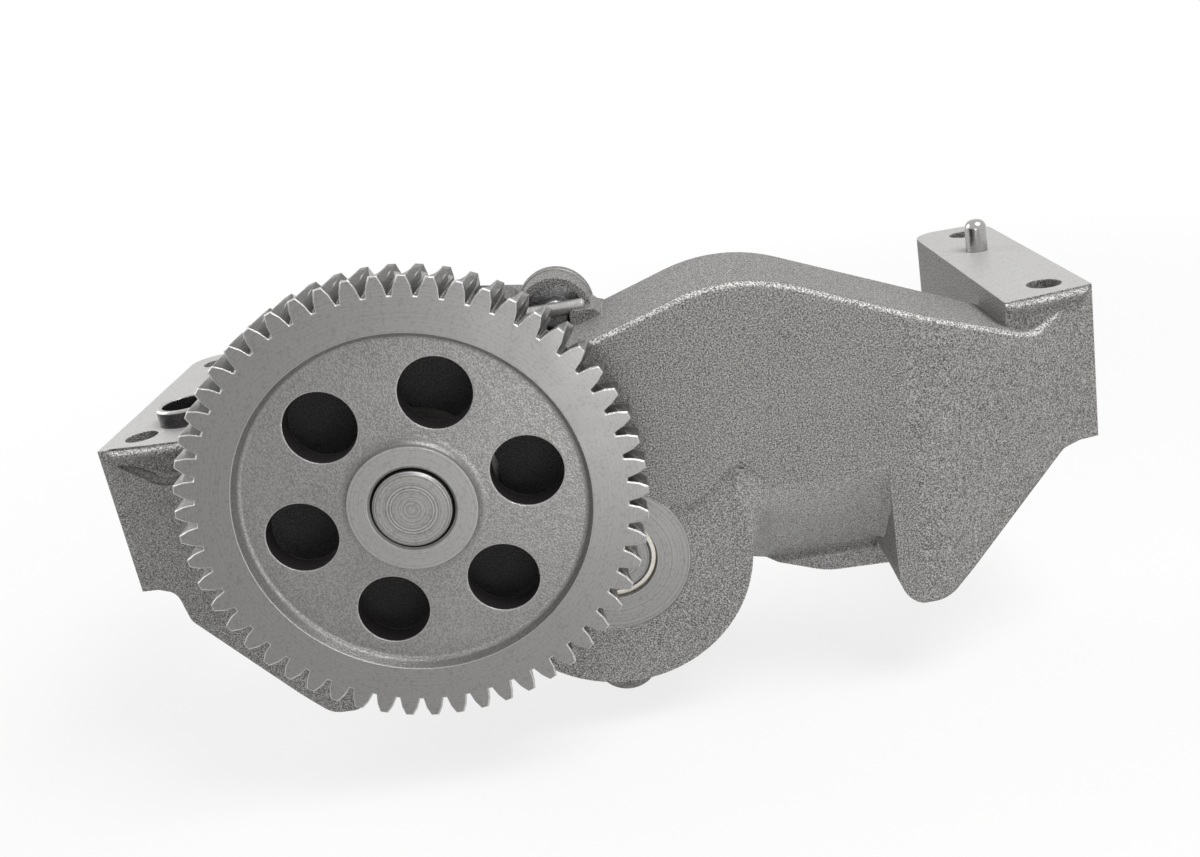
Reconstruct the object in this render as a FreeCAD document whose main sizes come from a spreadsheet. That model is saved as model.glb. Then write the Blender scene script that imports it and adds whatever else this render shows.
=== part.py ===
import FreeCAD, Part
import math
import os
import Sketcher

# Engine oil pump with two spur rotors, bolted under a crankcase by two feet.
# Frame: X to the right along the bridge, Y from the drive gear to the rear, Z up.
# The origin is the middle of the four foot bolts, on the plane of the milled pads. Lengths are in mm.

document = FreeCAD.newDocument("EngineOilPump")
sheet = document.addObject("Spreadsheet::Sheet", "Sizes")

SIZES = [
    # feet: milled pads at level zero, with four bolt holes
    ("bolt_span_across", 315.0), ("bolt_span_along", 94.0), ("foot_bolt_hole", 11.5),
    ("foot_side_edge", 12.5), ("foot_breadth", 30.5), ("foot_depth", 54.0), ("foot_tail", 26.0),
    ("foot_front_edge", 15.0), ("foot_front_slant", 5.5), ("foot_rear_edge", 15.0),
    ("foot_rear_round", 11.0), ("foot_dowel_x", 153.8), ("foot_dowel_y", 16.5), ("foot_dowel_size", 8.0),
    ("foot_dowel_sunk", 12.0), ("foot_dowel_proud", 12.0), ("sleeve_x", -144.0), ("sleeve_y", -33.5),
    ("sleeve_size", 21.5), ("sleeve_wall", 2.0), ("sleeve_sunk", 12.0), ("sleeve_proud", 6.0),
    ("sleeve_land", 8.0), ("gallery_size", 13.0), ("gallery_level", -34.0),
    # plate casting that bridges the feet
    ("joint_plane", -30.5), ("plate_depth", 47.5), ("hump_x", 51.6), ("hump_top", 29.6),
    ("hump_round", 56.0), ("valley_right_x", 147.0), ("valley_right_z", -11.5), ("valley_left_x", -143.0),
    ("valley_left_z", -14.0), ("corner_step", 1.0), ("lug_side", 93.4), ("lug_bottom", -97.0),
    ("lug_left_bottom", -103.5), ("waist_bottom", -84.0), ("lug_round", 12.0), ("ledge_level", -3.0),
    ("ledge_breadth", 1.4), ("bend_x", 110.0), ("bend_back", 23.0), ("bend_round", 60.0),
    ("web_bottom", -95.0), ("cast_round", 2.5), ("scoop_top", -44.0), ("scoop_floor", 8.5),
    ("lip_height", 7.0), ("cell_depth", 34.0), ("cell_round", 3.0), ("face_step", 1.6), ("notch_x", 45.4),
    ("notch_z", -31.8), ("spot_size", 52.0), ("spot_sink", 0.6), ("crest_depth", 20.0),
    ("crest_left", -96.0), ("crest_left_top", 37.0), ("crest_right", -19.0), ("crest_right_top", 27.0),
    # pumping rotors and their chambers
    ("gear_axis_x", -58.5), ("gear_axis_z", -22.5), ("rotor_distance", 70.0), ("idler_angle", -34.5),
    ("rotor_teeth", 12), ("rotor_width", 30.0), ("rotor_side_gap", 0.1), ("rotor_tip_gap", 0.2),
    ("rotor_backlash", 0.5), ("lobe_wall", 5.8), ("shaft_size", 25.0), ("shaft_gap", 0.03),
    ("bush_wall", 2.0), ("bush_length", 13.0),
    # drive gear
    ("gear_teeth", 55), ("gear_tip_radius", 73.9), ("gear_root_radius", 67.7), ("gear_width", 17.0),
    ("gear_twist", 4.2), ("gear_phase", 1.35), ("tooth_tip_width", 2.5), ("tooth_root_width", 6.6),
    ("edge_break", 0.4), ("gear_reach", 22.8), ("web_front_sink", 3.8), ("web_depth", 8.5),
    ("rim_inner_radius", 56.4), ("rim_slope", 1.6), ("rim_round", 1.8), ("hub_radius", 20.5),
    ("hub_front_proud", 3.1), ("hub_rear_gap", 0.3), ("light_hole_size", 23.3), ("light_hole_ring", 37.5),
    ("light_hole_count", 6), ("light_hole_turn", 7.6), ("shaft_front_proud", 1.6), ("washer_depth", 2.4),
    ("washer_radius", 19.0),
    # cover
    ("cover_depth", 16.5), ("bearing_boss_radius", 20.0), ("bearing_boss_depth", 9.0),
    ("bore_plug_depth", 3.0), ("fixing_ring_margin", 11.0), ("fixing_boss_radius", 9.0),
    ("bolt_size", 8.0), ("bolt_sunk", 18.0), ("bolt_head_across", 13.0), ("bolt_head_height", 7.0),
    ("bolt_flange_radius", 8.3), ("bolt_flange_depth", 1.8), ("bottom_boss_radius", 12.0),
    ("bottom_boss_depth", 27.0), ("dowel_size", 10.0), ("dowel_length", 16.0), ("suction_x", -36.0),
    ("suction_z", -74.0), ("suction_bore", 30.0), ("suction_wall", 5.0), ("suction_depth", 22.0),
    ("suction_ear_reach", 27.0), ("suction_ear_turn", 90.0), ("suction_ear_radius", 9.0),
    ("suction_thread", 6.8), ("suction_thread_depth", 14.0),
    # pressure relief valve
    ("relief_x", -7.5), ("relief_z", 17.0), ("relief_bore", 21.0), ("relief_wall", 2.5),
    ("relief_reach", 13.0), ("relief_end_wall", 4.0), ("relief_flange_depth", 4.5), ("relief_gap", 0.05),
    ("plunger_size", 13.0), ("plunger_wall", 1.2), ("plunger_length", 9.5), ("plunger_hollow", 5.5),
    ("cap_sunk", 7.0), ("cap_depth", 4.5), ("cap_stub_radius", 5.0), ("spring_wire", 1.6),
    ("spring_radius", 3.9), ("spring_coils", 5), ("relief_pin_size", 5.0), ("relief_pin_lift", 2.5),
    ("relief_pin_left", -24.0), ("relief_pin_right", 3.4), ("cradle_top", 19.0), ("fit_gap", 0.05),
]
for row, (alias, value) in enumerate(SIZES, 1):
    sheet.set("A%d" % row, alias)
    sheet.set("B%d" % row, str(value))
    sheet.setAlias("B%d" % row, alias)
document.recompute()

# Places that follow from the sizes
BOLT_X = "(Sizes.bolt_span_across / 2)"
FOOT_OUTER = "(Sizes.bolt_span_across / 2 + Sizes.foot_side_edge)"
FOOT_INNER = "(Sizes.bolt_span_across / 2 + Sizes.foot_side_edge - Sizes.foot_breadth)"
BOLT_FRONT_Y = "(-Sizes.bolt_span_along / 2)"
FOOT_FRONT = "(-Sizes.bolt_span_along / 2 - Sizes.foot_front_edge)"
FOOT_FRONT_OUTER = "(-Sizes.bolt_span_along / 2 - Sizes.foot_front_edge + Sizes.foot_front_slant)"
FOOT_REAR = "(Sizes.bolt_span_along / 2 + Sizes.foot_rear_edge)"
PLATE_FRONT = "(Sizes.joint_plane - Sizes.plate_depth)"
COVER_REAR = "(Sizes.joint_plane + Sizes.cover_depth)"
BOSS_REAR = "(Sizes.joint_plane + Sizes.cover_depth + Sizes.bearing_boss_depth)"
GEAR_X = "Sizes.gear_axis_x"
GEAR_Z = "Sizes.gear_axis_z"
IDLER_X = "(Sizes.gear_axis_x + Sizes.rotor_distance * cos(Sizes.idler_angle * 1deg))"
IDLER_Z = "(Sizes.gear_axis_z + Sizes.rotor_distance * sin(Sizes.idler_angle * 1deg))"
ROTOR_TIP = "(Sizes.rotor_distance / 2 + Sizes.rotor_distance / Sizes.rotor_teeth)"
CHAMBER = "(Sizes.rotor_distance / 2 + Sizes.rotor_distance / Sizes.rotor_teeth + Sizes.rotor_tip_gap)"
CHAMBER_DEPTH = "(Sizes.rotor_width + 2 * Sizes.rotor_side_gap)"
LOBE = "(%s + Sizes.lobe_wall)" % CHAMBER
SPOT_FACE = "(%s + Sizes.face_step + Sizes.spot_sink)" % PLATE_FRONT
SHAFT_RADIUS = "(Sizes.shaft_size / 2)"
BUSH_OUTER = "(Sizes.shaft_size / 2 + Sizes.shaft_gap + Sizes.bush_wall)"
FIXING_RING = "(%s + Sizes.fixing_ring_margin)" % CHAMBER
RELIEF_FRONT = "(Sizes.joint_plane - Sizes.relief_reach)"
RELIEF_END = "(Sizes.joint_plane + Sizes.cover_depth - 0.5)"
RELIEF_PLACE = ("Sizes.relief_x", "Sizes.relief_z")
RELIEF_PIN_Y = "(%s - Sizes.relief_pin_size / 2)" % RELIEF_FRONT
RELIEF_PIN_Z = "(Sizes.relief_z + Sizes.relief_pin_lift)"

# Fixings around the two chambers, each by its angle about the gear or the idler
BOLT_ANGLES = [("gear", 18), ("gear", 118), ("gear", 148), ("gear", 212), ("gear", 246),
               ("idler", 266), ("idler", -3), ("idler", 34)]
DOWEL_ANGLES = [("gear", 180), ("idler", 68)]


def number(text):
    """Value of an expression on the sheet."""
    return float(sheet.evalExpression(text))


def fixing_place(axis, angle):
    """X and Z of a cover fixing on the ring about one of the two shafts."""
    x, z = (GEAR_X, GEAR_Z) if axis == "gear" else (IDLER_X, IDLER_Z)
    return ("(%s + %s * cos(%s * 1deg))" % (x, FIXING_RING, angle),
            "(%s + %s * sin(%s * 1deg))" % (z, FIXING_RING, angle))


# Sketch and feature helpers

def new_body(label):
    body = document.addObject("PartDesign::Body", label)
    body.Label = label
    return body


def new_sketch(body, name, role, level="0"):
    """Sketch on one of the body's own planes, moved along the plane's normal."""
    plane = next(item for item in body.Origin.OriginFeatures if item.Role == role)
    sketch = body.newObject("Sketcher::SketchObject", name)
    sketch.AttachmentSupport = (plane, [""])
    sketch.MapMode = "FlatFace"
    sketch.setExpression("AttachmentOffset.Base.z", level)
    return sketch


def front_sketch(body, name, y):
    """Sketch seen from the front: its axes are X and Z, and it lies at the given Y."""
    return new_sketch(body, name, "XZ_Plane", "-(%s)" % y)


def bind(sketch, rules, bound):
    first = sketch.addConstraint(rules)[0]
    for index, text in bound:
        sketch.setExpression("Constraints[%d]" % (first + index), text)


def outline(sketch, corners):
    """Closed outline through corners (x, y, rounding), with straight runs and tangent arcs."""
    points = [FreeCAD.Vector(number(x), number(y), 0) for x, y, _ in corners]
    radii = [number(r) if r else 0.0 for _, _, r in corners]
    count = len(points)
    starts, ends, middles, reaches = [], [], [], []
    for i in range(count):
        here = points[i]
        back = (points[i - 1] - here).normalize()
        forth = (points[(i + 1) % count] - here).normalize()
        half = back.getAngle(forth) / 2
        reach = radii[i] / math.tan(half)
        reaches.append(reach)
        towards = (back + forth).normalize()
        starts.append(here + back * reach)
        ends.append(here + forth * reach)
        middles.append(here + towards * (radii[i] / math.sin(half) - radii[i]))
    for i in range(count):
        if reaches[i - 1] + reaches[i] > points[i - 1].distanceToPoint(points[i]) - 1e-3:
            raise ValueError("%s: the rounds before corner %d run into each other" % (sketch.Label, i))
    runs = [Part.LineSegment(ends[i], starts[(i + 1) % count]) for i in range(count)]
    lines = sketch.addGeometry(runs, False)
    rules, bound = [], []
    for i in range(count):
        line_in, line_out = lines[i - 1], lines[i]
        if radii[i]:
            left_turn = (points[i] - starts[i]).cross(ends[i] - points[i]).z > 0
            first, begin, finish = (1, starts[i], ends[i]) if left_turn else (2, ends[i], starts[i])
            arc = sketch.addGeometry(Part.Arc(begin, middles[i], finish), False)
            mark = sketch.addGeometry(Part.Point(points[i]), True)
            rules.append(Sketcher.Constraint("Tangent", line_in, 2, arc, first))
            rules.append(Sketcher.Constraint("Tangent", arc, 3 - first, line_out, 1))
            rules.append(Sketcher.Constraint("PointOnObject", mark, 1, line_in))
            rules.append(Sketcher.Constraint("PointOnObject", mark, 1, line_out))
            bound.append((len(rules), corners[i][2]))
            rules.append(Sketcher.Constraint("Radius", arc, radii[i]))
            held = mark
        else:
            rules.append(Sketcher.Constraint("Coincident", line_in, 2, line_out, 1))
            held = line_out
        bound.append((len(rules), corners[i][0]))
        rules.append(Sketcher.Constraint("DistanceX", -1, 1, held, 1, points[i].x))
        bound.append((len(rules), corners[i][1]))
        rules.append(Sketcher.Constraint("DistanceY", -1, 1, held, 1, points[i].y))
    bind(sketch, rules, bound)


def circles(sketch, places, radius):
    """Circles of one radius at places (x, y)."""
    rules, bound = [], []
    for x, y in places:
        centre = FreeCAD.Vector(number(x), number(y), 0)
        ring = sketch.addGeometry(Part.Circle(centre, FreeCAD.Vector(0, 0, 1), number(radius)), False)
        bound.append((len(rules), radius))
        rules.append(Sketcher.Constraint("Radius", ring, number(radius)))
        bound.append((len(rules), x))
        rules.append(Sketcher.Constraint("DistanceX", -1, 1, ring, 3, centre.x))
        bound.append((len(rules), y))
        rules.append(Sketcher.Constraint("DistanceY", -1, 1, ring, 3, centre.y))
    bind(sketch, rules, bound)


def volume(body):
    return body.Shape.Volume if body.Tip else 0.0


def pad(body, sketch, length, reverse=False):
    """Material added along the sketch's normal, or against it."""
    before = volume(body)
    feature = body.newObject("PartDesign::Pad", sketch.Name + "_pad")
    feature.Profile = sketch
    feature.Reversed = reverse
    feature.setExpression("Length", length)
    body.Tip = feature
    document.recompute()
    if not feature.Shape.isValid() or feature.Shape.Volume <= before:
        raise ValueError("%s adds nothing to %s" % (feature.Name, body.Label))
    return feature


def pocket(body, sketch, length, reverse=False):
    """Material cut away against the sketch's normal, or along it."""
    before = volume(body)
    feature = body.newObject("PartDesign::Pocket", sketch.Name + "_cut")
    feature.Refine = False
    feature.Profile = sketch
    feature.Reversed = reverse
    feature.setExpression("Length", length)
    body.Tip = feature
    document.recompute()
    if not feature.Shape.isValid() or feature.Shape.Volume >= before - 1e-3:
        raise ValueError("%s cuts nothing from %s, or leaves it unsound" % (feature.Name, body.Label))
    return feature


def disc(body, name, y, places, radius, length, back=False):
    """Round bosses: from Y forwards, or backwards when back is set."""
    sketch = front_sketch(body, name, y)
    circles(sketch, places, radius)
    return pad(body, sketch, length, back)


def bore(body, name, y, places, radius, length, back=False):
    """Round holes: from Y forwards, or backwards when back is set."""
    sketch = front_sketch(body, name, y)
    circles(sketch, places, radius)
    return pocket(body, sketch, length, not back)


def turned(label, corners, place, role="XY_Plane", axis="V_Axis"):
    """Turned piece: profile corners (radius, position) spun about the body's axis."""
    body = new_body(label)
    sketch = new_sketch(body, label + "_profile", role)
    outline(sketch, corners)
    spin = body.newObject("PartDesign::Revolution", label + "_spin")
    spin.Profile = sketch
    spin.ReferenceAxis = (sketch, [axis])
    spin.Angle = 360
    body.Tip = spin
    for name, text in zip("xyz", place):
        body.setExpression("Placement.Base." + name, text)
    return body


def ring_profile(inner, outer, start, end, chamfer="0.5"):
    """Profile of a tube or ring with broken outer edges."""
    return [(inner, start, None), ("(%s - %s)" % (outer, chamfer), start, None),
            (outer, "(%s + %s)" % (start, chamfer), None), (outer, "(%s - %s)" % (end, chamfer), None),
            ("(%s - %s)" % (outer, chamfer), end, None), (inner, end, None)]


def rod_profile(radius, start, end, chamfer="0.6"):
    """Profile of a solid rod with chamfered ends."""
    return [("0", start, None), ("(%s - %s)" % (radius, chamfer), start, None),
            (radius, "(%s + %s)" % (start, chamfer), None), (radius, "(%s - %s)" % (end, chamfer), None),
            ("(%s - %s)" % (radius, chamfer), end, None), ("0", end, None)]


def neck(radius):
    """Relief groove of a pressed pin, at the level of the foot's pad."""
    return [(radius, "-0.8", None), ("(%s - 0.3)" % radius, "-0.8", None), ("(%s - 0.3)" % radius, "0", None),
            (radius, "0", None)]


# Pump housing: the plate between the feet, as it comes from the sand mould, then machined
housing = new_body("pump_housing")
plate = front_sketch(housing, "plate_outline", "Sizes.joint_plane")
outline(plate, [
    ("-" + FOOT_OUTER, "-Sizes.corner_step", None),
    ("Sizes.valley_left_x", "Sizes.valley_left_z", "12"),
    ("-118", "14", "12"), ("-96", "26", "10"), ("-30", "26", "12"), ("-12", "12", "8"), ("4", "14.8", "6"),
    ("Sizes.hump_x", "Sizes.hump_top", "Sizes.hump_round"),
    ("Sizes.valley_right_x", "Sizes.valley_right_z", "10"),
    (FOOT_OUTER, "-Sizes.corner_step", None),
    (FOOT_OUTER, "-Sizes.foot_depth", "3"),
    ("(%s - 13)" % FOOT_OUTER, "(-Sizes.foot_depth - 2)", "4"),
    ("(Sizes.lug_side + 16.2)", "Sizes.lug_bottom", "Sizes.lug_round"),
    ("74", "(Sizes.web_bottom - 1)", "25"), ("46", "(Sizes.web_bottom + 9.5)", "6"),
    ("30", "-80", None), ("-30", "-72", None), ("-48", "Sizes.waist_bottom", "10"),
    ("-Sizes.lug_side", "Sizes.waist_bottom", "6"),
    ("(-Sizes.lug_side - 1)", "Sizes.lug_left_bottom", "7"),
    ("(-Sizes.lug_side - 15)", "Sizes.lug_left_bottom", "8"),
    ("(-%s + 15.5)" % FOOT_OUTER, "(-Sizes.foot_depth - 13)", "5"),
    ("(-%s + 13)" % FOOT_OUTER, "(-Sizes.foot_depth - 2)", "4"),
    ("-" + FOOT_OUTER, "-Sizes.foot_depth", "3"),
])
pad(housing, plate, "Sizes.plate_depth")

# the front face turns back towards both feet, with a soft bend
for side, name in ((1, "right"), (-1, "left")):
    sign = "" if side > 0 else "-"
    bend = new_sketch(housing, name + "_bend", "XY_Plane", "60")
    over = "(%s + 12)" % FOOT_OUTER
    outline(bend, [
        (sign + "(Sizes.bend_x - 20)", "(%s - 10)" % PLATE_FRONT, None),
        (sign + "(Sizes.bend_x - 20)", PLATE_FRONT, None),
        (sign + "Sizes.bend_x", PLATE_FRONT, "Sizes.bend_round"),
        (sign + FOOT_OUTER, "(%s + Sizes.bend_back - 0.2)" % PLATE_FRONT, None),
        (sign + over, "(%s + Sizes.bend_back + 4)" % PLATE_FRONT, None),
        (sign + over, "(%s - 10)" % PLATE_FRONT, None)])
    pocket(housing, bend, "220")

# rounded cast edge all round the front
front_faces = []
for face in housing.Shape.Faces:
    first_u, last_u, first_v, last_v = face.ParameterRange
    if face.normalAt((first_u + last_u) / 2, (first_v + last_v) / 2).y < -0.6:
        front_faces.append(face)
seen = [edge.hashCode() for face in front_faces for edge in face.Edges]
rim_edges = ["Edge%d" % index for index, edge in enumerate(housing.Shape.Edges, 1)
             if seen.count(edge.hashCode()) == 1]
plate_end = housing.Tip
rounded = housing.newObject("PartDesign::Fillet", "front_round")
rounded.Base = (plate_end, rim_edges)
rounded.setExpression("Radius", "Sizes.cast_round")
housing.Tip = rounded
document.recompute()

# scoop between the two hanging lobes: the face slopes back to a thin web with a lip
scoop = new_sketch(housing, "scoop_side", "YZ_Plane", "Sizes.lug_side")
outline(scoop, [
    ("(%s - 6)" % PLATE_FRONT, "Sizes.scoop_top", None), (PLATE_FRONT, "Sizes.scoop_top", "5"),
    ("(Sizes.joint_plane - Sizes.scoop_floor - 26)", "(Sizes.scoop_top - 13)", "30"),
    ("(Sizes.joint_plane - Sizes.scoop_floor)", "(Sizes.web_bottom + Sizes.lip_height)", None),
    ("(Sizes.joint_plane - Sizes.scoop_floor - 3)", "(Sizes.web_bottom + Sizes.lip_height - 1.5)", None),
    ("(Sizes.joint_plane - Sizes.scoop_floor - 3)", "(Sizes.web_bottom - 20)", None),
    ("(%s - 6)" % PLATE_FRONT, "(Sizes.web_bottom - 20)", None)])
pocket(housing, scoop, "Sizes.lug_side - 12")


def hollow(name, front, back, depth):
    """Deeper groove in the scoop: drawn between an outline on the front face and one further back."""
    sketches = []
    for end, corners, y in (("_front", front, "(%s - 0.5)" % PLATE_FRONT),
                            ("_back", back, "(%s + %s)" % (PLATE_FRONT, depth))):
        section = front_sketch(housing, name + end, y)
        outline(section, [(x, z, None) for x, z in corners])
        sketches.append(section)
    cut = housing.newObject("PartDesign::SubtractiveLoft", name)
    cut.Profile = sketches[0]
    cut.Sections = [sketches[1]]
    cut.Ruled = True
    housing.Tip = cut
    document.recompute()


hollow("left_hollow",
       [("Sizes.notch_x", "Sizes.notch_z"), ("(Sizes.notch_x + 8)", "(Sizes.notch_z - 9)"),
        ("(Sizes.notch_x + 14)", "(Sizes.notch_z - 26)"), ("(Sizes.notch_x + 16)", "(Sizes.notch_z - 42)"),
        ("(Sizes.notch_x - 8)", "(Sizes.notch_z - 42)")],
       [("Sizes.notch_x", "(Sizes.notch_z - 37)"), ("(Sizes.notch_x + 6)", "(Sizes.notch_z - 40)"),
        ("(Sizes.notch_x + 12)", "(Sizes.notch_z - 45)"), ("(Sizes.notch_x + 16)", "(Sizes.notch_z - 52)"),
        ("(Sizes.notch_x - 8)", "(Sizes.notch_z - 52)")], "24")
hollow("right_hollow",
       [("(Sizes.lug_side - 8)", "(Sizes.scoop_top + 1)"), ("Sizes.lug_side", "(Sizes.scoop_top + 1)"),
        ("Sizes.lug_side", "(Sizes.scoop_top - 28)"), ("(Sizes.lug_side - 12)", "(Sizes.scoop_top - 28)")],
       [("(Sizes.lug_side - 7)", "(Sizes.scoop_top - 30)"),
        ("(Sizes.lug_side - 1)", "(Sizes.scoop_top - 30)"),
        ("(Sizes.lug_side - 1)", "(Sizes.scoop_top - 36)"),
        ("(Sizes.lug_side - 11)", "(Sizes.scoop_top - 36)")], "26")

# lobe around the idler's chamber, which hangs below the plate
disc(housing, "idler_lobe", "Sizes.joint_plane", [(IDLER_X, IDLER_Z)], LOBE,
     "Sizes.plate_depth - Sizes.face_step")

# crest behind the gear, with a sloping top
crest = front_sketch(housing, "crest_outline", "Sizes.joint_plane")
outline(crest, [
    ("Sizes.crest_left", "0", None), ("(Sizes.crest_left + 8)", "Sizes.crest_left_top", "11"),
    ("Sizes.crest_right", "Sizes.crest_right_top", "6"), ("(Sizes.crest_right + 1)", "0", None)])
pad(housing, crest, "Sizes.crest_depth")

# round lug of the relief valve, and the cradle that carries the right end of its pin
disc(housing, "relief_lug", "Sizes.joint_plane", [RELIEF_PLACE],
     "Sizes.relief_bore / 2 + Sizes.relief_wall", "Sizes.relief_reach")
cradle = front_sketch(housing, "pin_cradle", "Sizes.joint_plane")
outline(cradle, [("-15", "5", None), ("-15", "9", None), ("-3", "9", "2"), ("-2", "Sizes.cradle_top", "1.5"),
                 ("6", "Sizes.cradle_top", "2"), ("11", "14", "3"), ("11", "5", None)])
pad(housing, cradle, "Sizes.crest_depth")

# feet: two rails behind the plate, with the milled pads on top
for side, name in ((1, "right"), (-1, "left")):
    foot = new_sketch(housing, name + "_foot_outline", "XY_Plane")
    sign = "" if side > 0 else "-"
    inner_edge = [(sign + FOOT_INNER, FOOT_FRONT, None)]
    if side < 0:
        land = "(Sizes.sleeve_size / 2 + Sizes.sleeve_land)"
        inner_edge = [
            ("-" + FOOT_INNER, FOOT_REAR, "Sizes.foot_rear_round"),
            ("-" + FOOT_INNER, "(Sizes.sleeve_y + %s + 10)" % land, "10"),
            ("(Sizes.sleeve_x + %s)" % land, "(Sizes.sleeve_y + %s - 4)" % land, "12"),
            ("(Sizes.sleeve_x + %s)" % land, FOOT_FRONT, None)]
        corners = inner_edge + [("-" + FOOT_OUTER, FOOT_FRONT_OUTER, None),
                                ("-" + FOOT_OUTER, FOOT_REAR, "Sizes.foot_rear_round")]
    else:
        corners = inner_edge + [(FOOT_OUTER, FOOT_FRONT_OUTER, None),
                                (FOOT_OUTER, FOOT_REAR, "Sizes.foot_rear_round"),
                                (FOOT_INNER, FOOT_REAR, "Sizes.foot_rear_round")]
    outline(foot, corners)
    pad(housing, foot, "Sizes.foot_depth", True)

# the pad's front edge on the left was cut back by the mill, down to a narrow ledge
ledge = new_sketch(housing, "left_ledge", "XY_Plane")
outline(ledge, [
    ("(-%s + 4)" % FOOT_OUTER, "(%s + 0.7)" % FOOT_FRONT_OUTER, None),
    ("(-%s + 4)" % FOOT_OUTER, "(%s - 14)" % FOOT_FRONT, None),
    ("(Sizes.sleeve_x + 30)", "(%s - 14)" % FOOT_FRONT, None),
    ("(Sizes.sleeve_x + 30)", "(%s + Sizes.ledge_breadth)" % FOOT_FRONT, None),
    ("(Sizes.sleeve_x + 2)", "(%s + Sizes.ledge_breadth)" % FOOT_FRONT, None)])
pocket(housing, ledge, "-Sizes.ledge_level")

# the rails taper towards the rear
taper = new_sketch(housing, "rail_taper", "YZ_Plane", "-(%s + 5)" % FOOT_OUTER)
outline(taper, [
    ("Sizes.joint_plane", "(-Sizes.foot_depth + 1)", "6"),
    ("(Sizes.bolt_span_along / 2 - 18)", "-Sizes.foot_tail", "10"),
    ("(%s + 5)" % FOOT_REAR, "-Sizes.foot_tail", None),
    ("(%s + 5)" % FOOT_REAR, "(-Sizes.foot_depth - 10)", None),
    ("Sizes.joint_plane", "(-Sizes.foot_depth - 10)", None)])
pocket(housing, taper, "2 * (%s + 5)" % FOOT_OUTER, True)

# bottom boss for a cover bolt, with a domed end
BOSS_X, BOSS_Z = fixing_place("idler", 266)
dome = new_sketch(housing, "bottom_boss", "XY_Plane", BOSS_Z)
dome.setExpression("AttachmentOffset.Base.x", BOSS_X)
outline(dome, [
    ("0", "Sizes.joint_plane", None), ("Sizes.bottom_boss_radius", "Sizes.joint_plane", None),
    ("Sizes.bottom_boss_radius", "(Sizes.joint_plane - Sizes.bottom_boss_depth)", "7"),
    ("0", "(Sizes.joint_plane - Sizes.bottom_boss_depth)", None)])
boss = housing.newObject("PartDesign::Revolution", "bottom_boss_spin")
boss.Profile = dome
boss.ReferenceAxis = (dome, ["V_Axis"])
boss.Angle = 360
housing.Tip = boss
document.recompute()

# rounded lower corner of the right lug, in front of the web
rounding = front_sketch(housing, "lug_corner", "(%s - 1)" % PLATE_FRONT)
outline(rounding, [
    ("Sizes.lug_side", "(Sizes.lug_bottom + 14)", None),
    ("Sizes.lug_side", "Sizes.lug_bottom", "Sizes.lug_round"),
    ("(Sizes.lug_side + 14)", "Sizes.lug_bottom", None),
    ("(Sizes.lug_side + 14)", "(Sizes.lug_bottom - 2)", None),
    ("(Sizes.lug_side - 1)", "(Sizes.lug_bottom - 2)", None),
    ("(Sizes.lug_side - 1)", "(Sizes.lug_bottom + 14)", None)])
pocket(housing, rounding, "Sizes.plate_depth - Sizes.scoop_floor - 2")

# the face around the two lobes lies a step behind the plate's face, up to the notch
step = front_sketch(housing, "lobe_face", "(%s - 1)" % PLATE_FRONT)
outline(step, [
    ("24.3", "-50", "3"), ("Sizes.notch_x", "Sizes.notch_z", "5"), ("(Sizes.notch_x + 9)", "-46", "8"),
    ("(Sizes.notch_x + 14)", "-70", None), ("(Sizes.notch_x + 14)", "-125", None), ("-40", "-125", None),
    ("-40", "-70", None)])
pocket(housing, step, "Sizes.face_step + 1")

# cored back of both arms: cells between ribs, open to the rear
CELLS = {
    "right_upper_cell": [("64", "14"), ("64", "-34"), ("92", "-36"), ("92", "4")],
    "right_outer_cell": [("98", "1"), ("98", "-42"), ("130", "-42"), ("130", "-13")],
    "right_lug_cell": [("98", "-48"), ("98", "-84"), ("112", "-84"), ("130", "-68"), ("130", "-48")],
    "left_lug_cell": [("-129", "-48"), ("-129", "-74"), ("-108", "-92"), ("-99", "-92"), ("-99", "-62"),
                      ("-112", "-48")],
    "left_upper_cell": [("-127", "-6"), ("-127", "-20"), ("-116", "-20"), ("-107", "-8"), ("-107", "6"),
                        ("-113", "6")],
}
for name, corners in CELLS.items():
    cell = front_sketch(housing, name, "Sizes.joint_plane")
    outline(cell, [(x, z, "Sizes.cell_round") for x, z in corners])
    pocket(housing, cell, "Sizes.cell_depth", True)

# machined faces and bores of the two shafts
for name, x, z in (("gear", GEAR_X, GEAR_Z), ("idler", IDLER_X, IDLER_Z)):
    bore(housing, name + "_spot", "(%s - 1)" % PLATE_FRONT, [(x, z)], "Sizes.spot_size / 2",
         "Sizes.face_step + Sizes.spot_sink + 1", True)
    bore(housing, name + "_chamber", "Sizes.joint_plane", [(x, z)], CHAMBER, CHAMBER_DEPTH)
    bore(housing, name + "_bush_bore", "Sizes.joint_plane", [(x, z)], BUSH_OUTER, "Sizes.plate_depth")

# relief valve bore, and the seat of its pin
bore(housing, "relief_bore", "Sizes.joint_plane", [RELIEF_PLACE], "Sizes.relief_bore / 2",
     "Sizes.relief_reach")
pin_hole = new_sketch(housing, "relief_pin_hole", "YZ_Plane", "Sizes.relief_pin_left")
circles(pin_hole, [(RELIEF_PIN_Y, RELIEF_PIN_Z)], "Sizes.relief_pin_size / 2 + Sizes.fit_gap")
pocket(housing, pin_hole, "Sizes.relief_pin_right - Sizes.relief_pin_left", True)

# threads for the cover bolts and bores for its dowels
bore(housing, "cover_threads", "Sizes.joint_plane", [fixing_place(*item) for item in BOLT_ANGLES],
     "Sizes.bolt_size / 2 + Sizes.fit_gap", "Sizes.bolt_sunk + 2")
bore(housing, "dowel_bores", "Sizes.joint_plane", [fixing_place(*item) for item in DOWEL_ANGLES],
     "Sizes.dowel_size / 2 + Sizes.fit_gap", "Sizes.dowel_length / 2")

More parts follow.
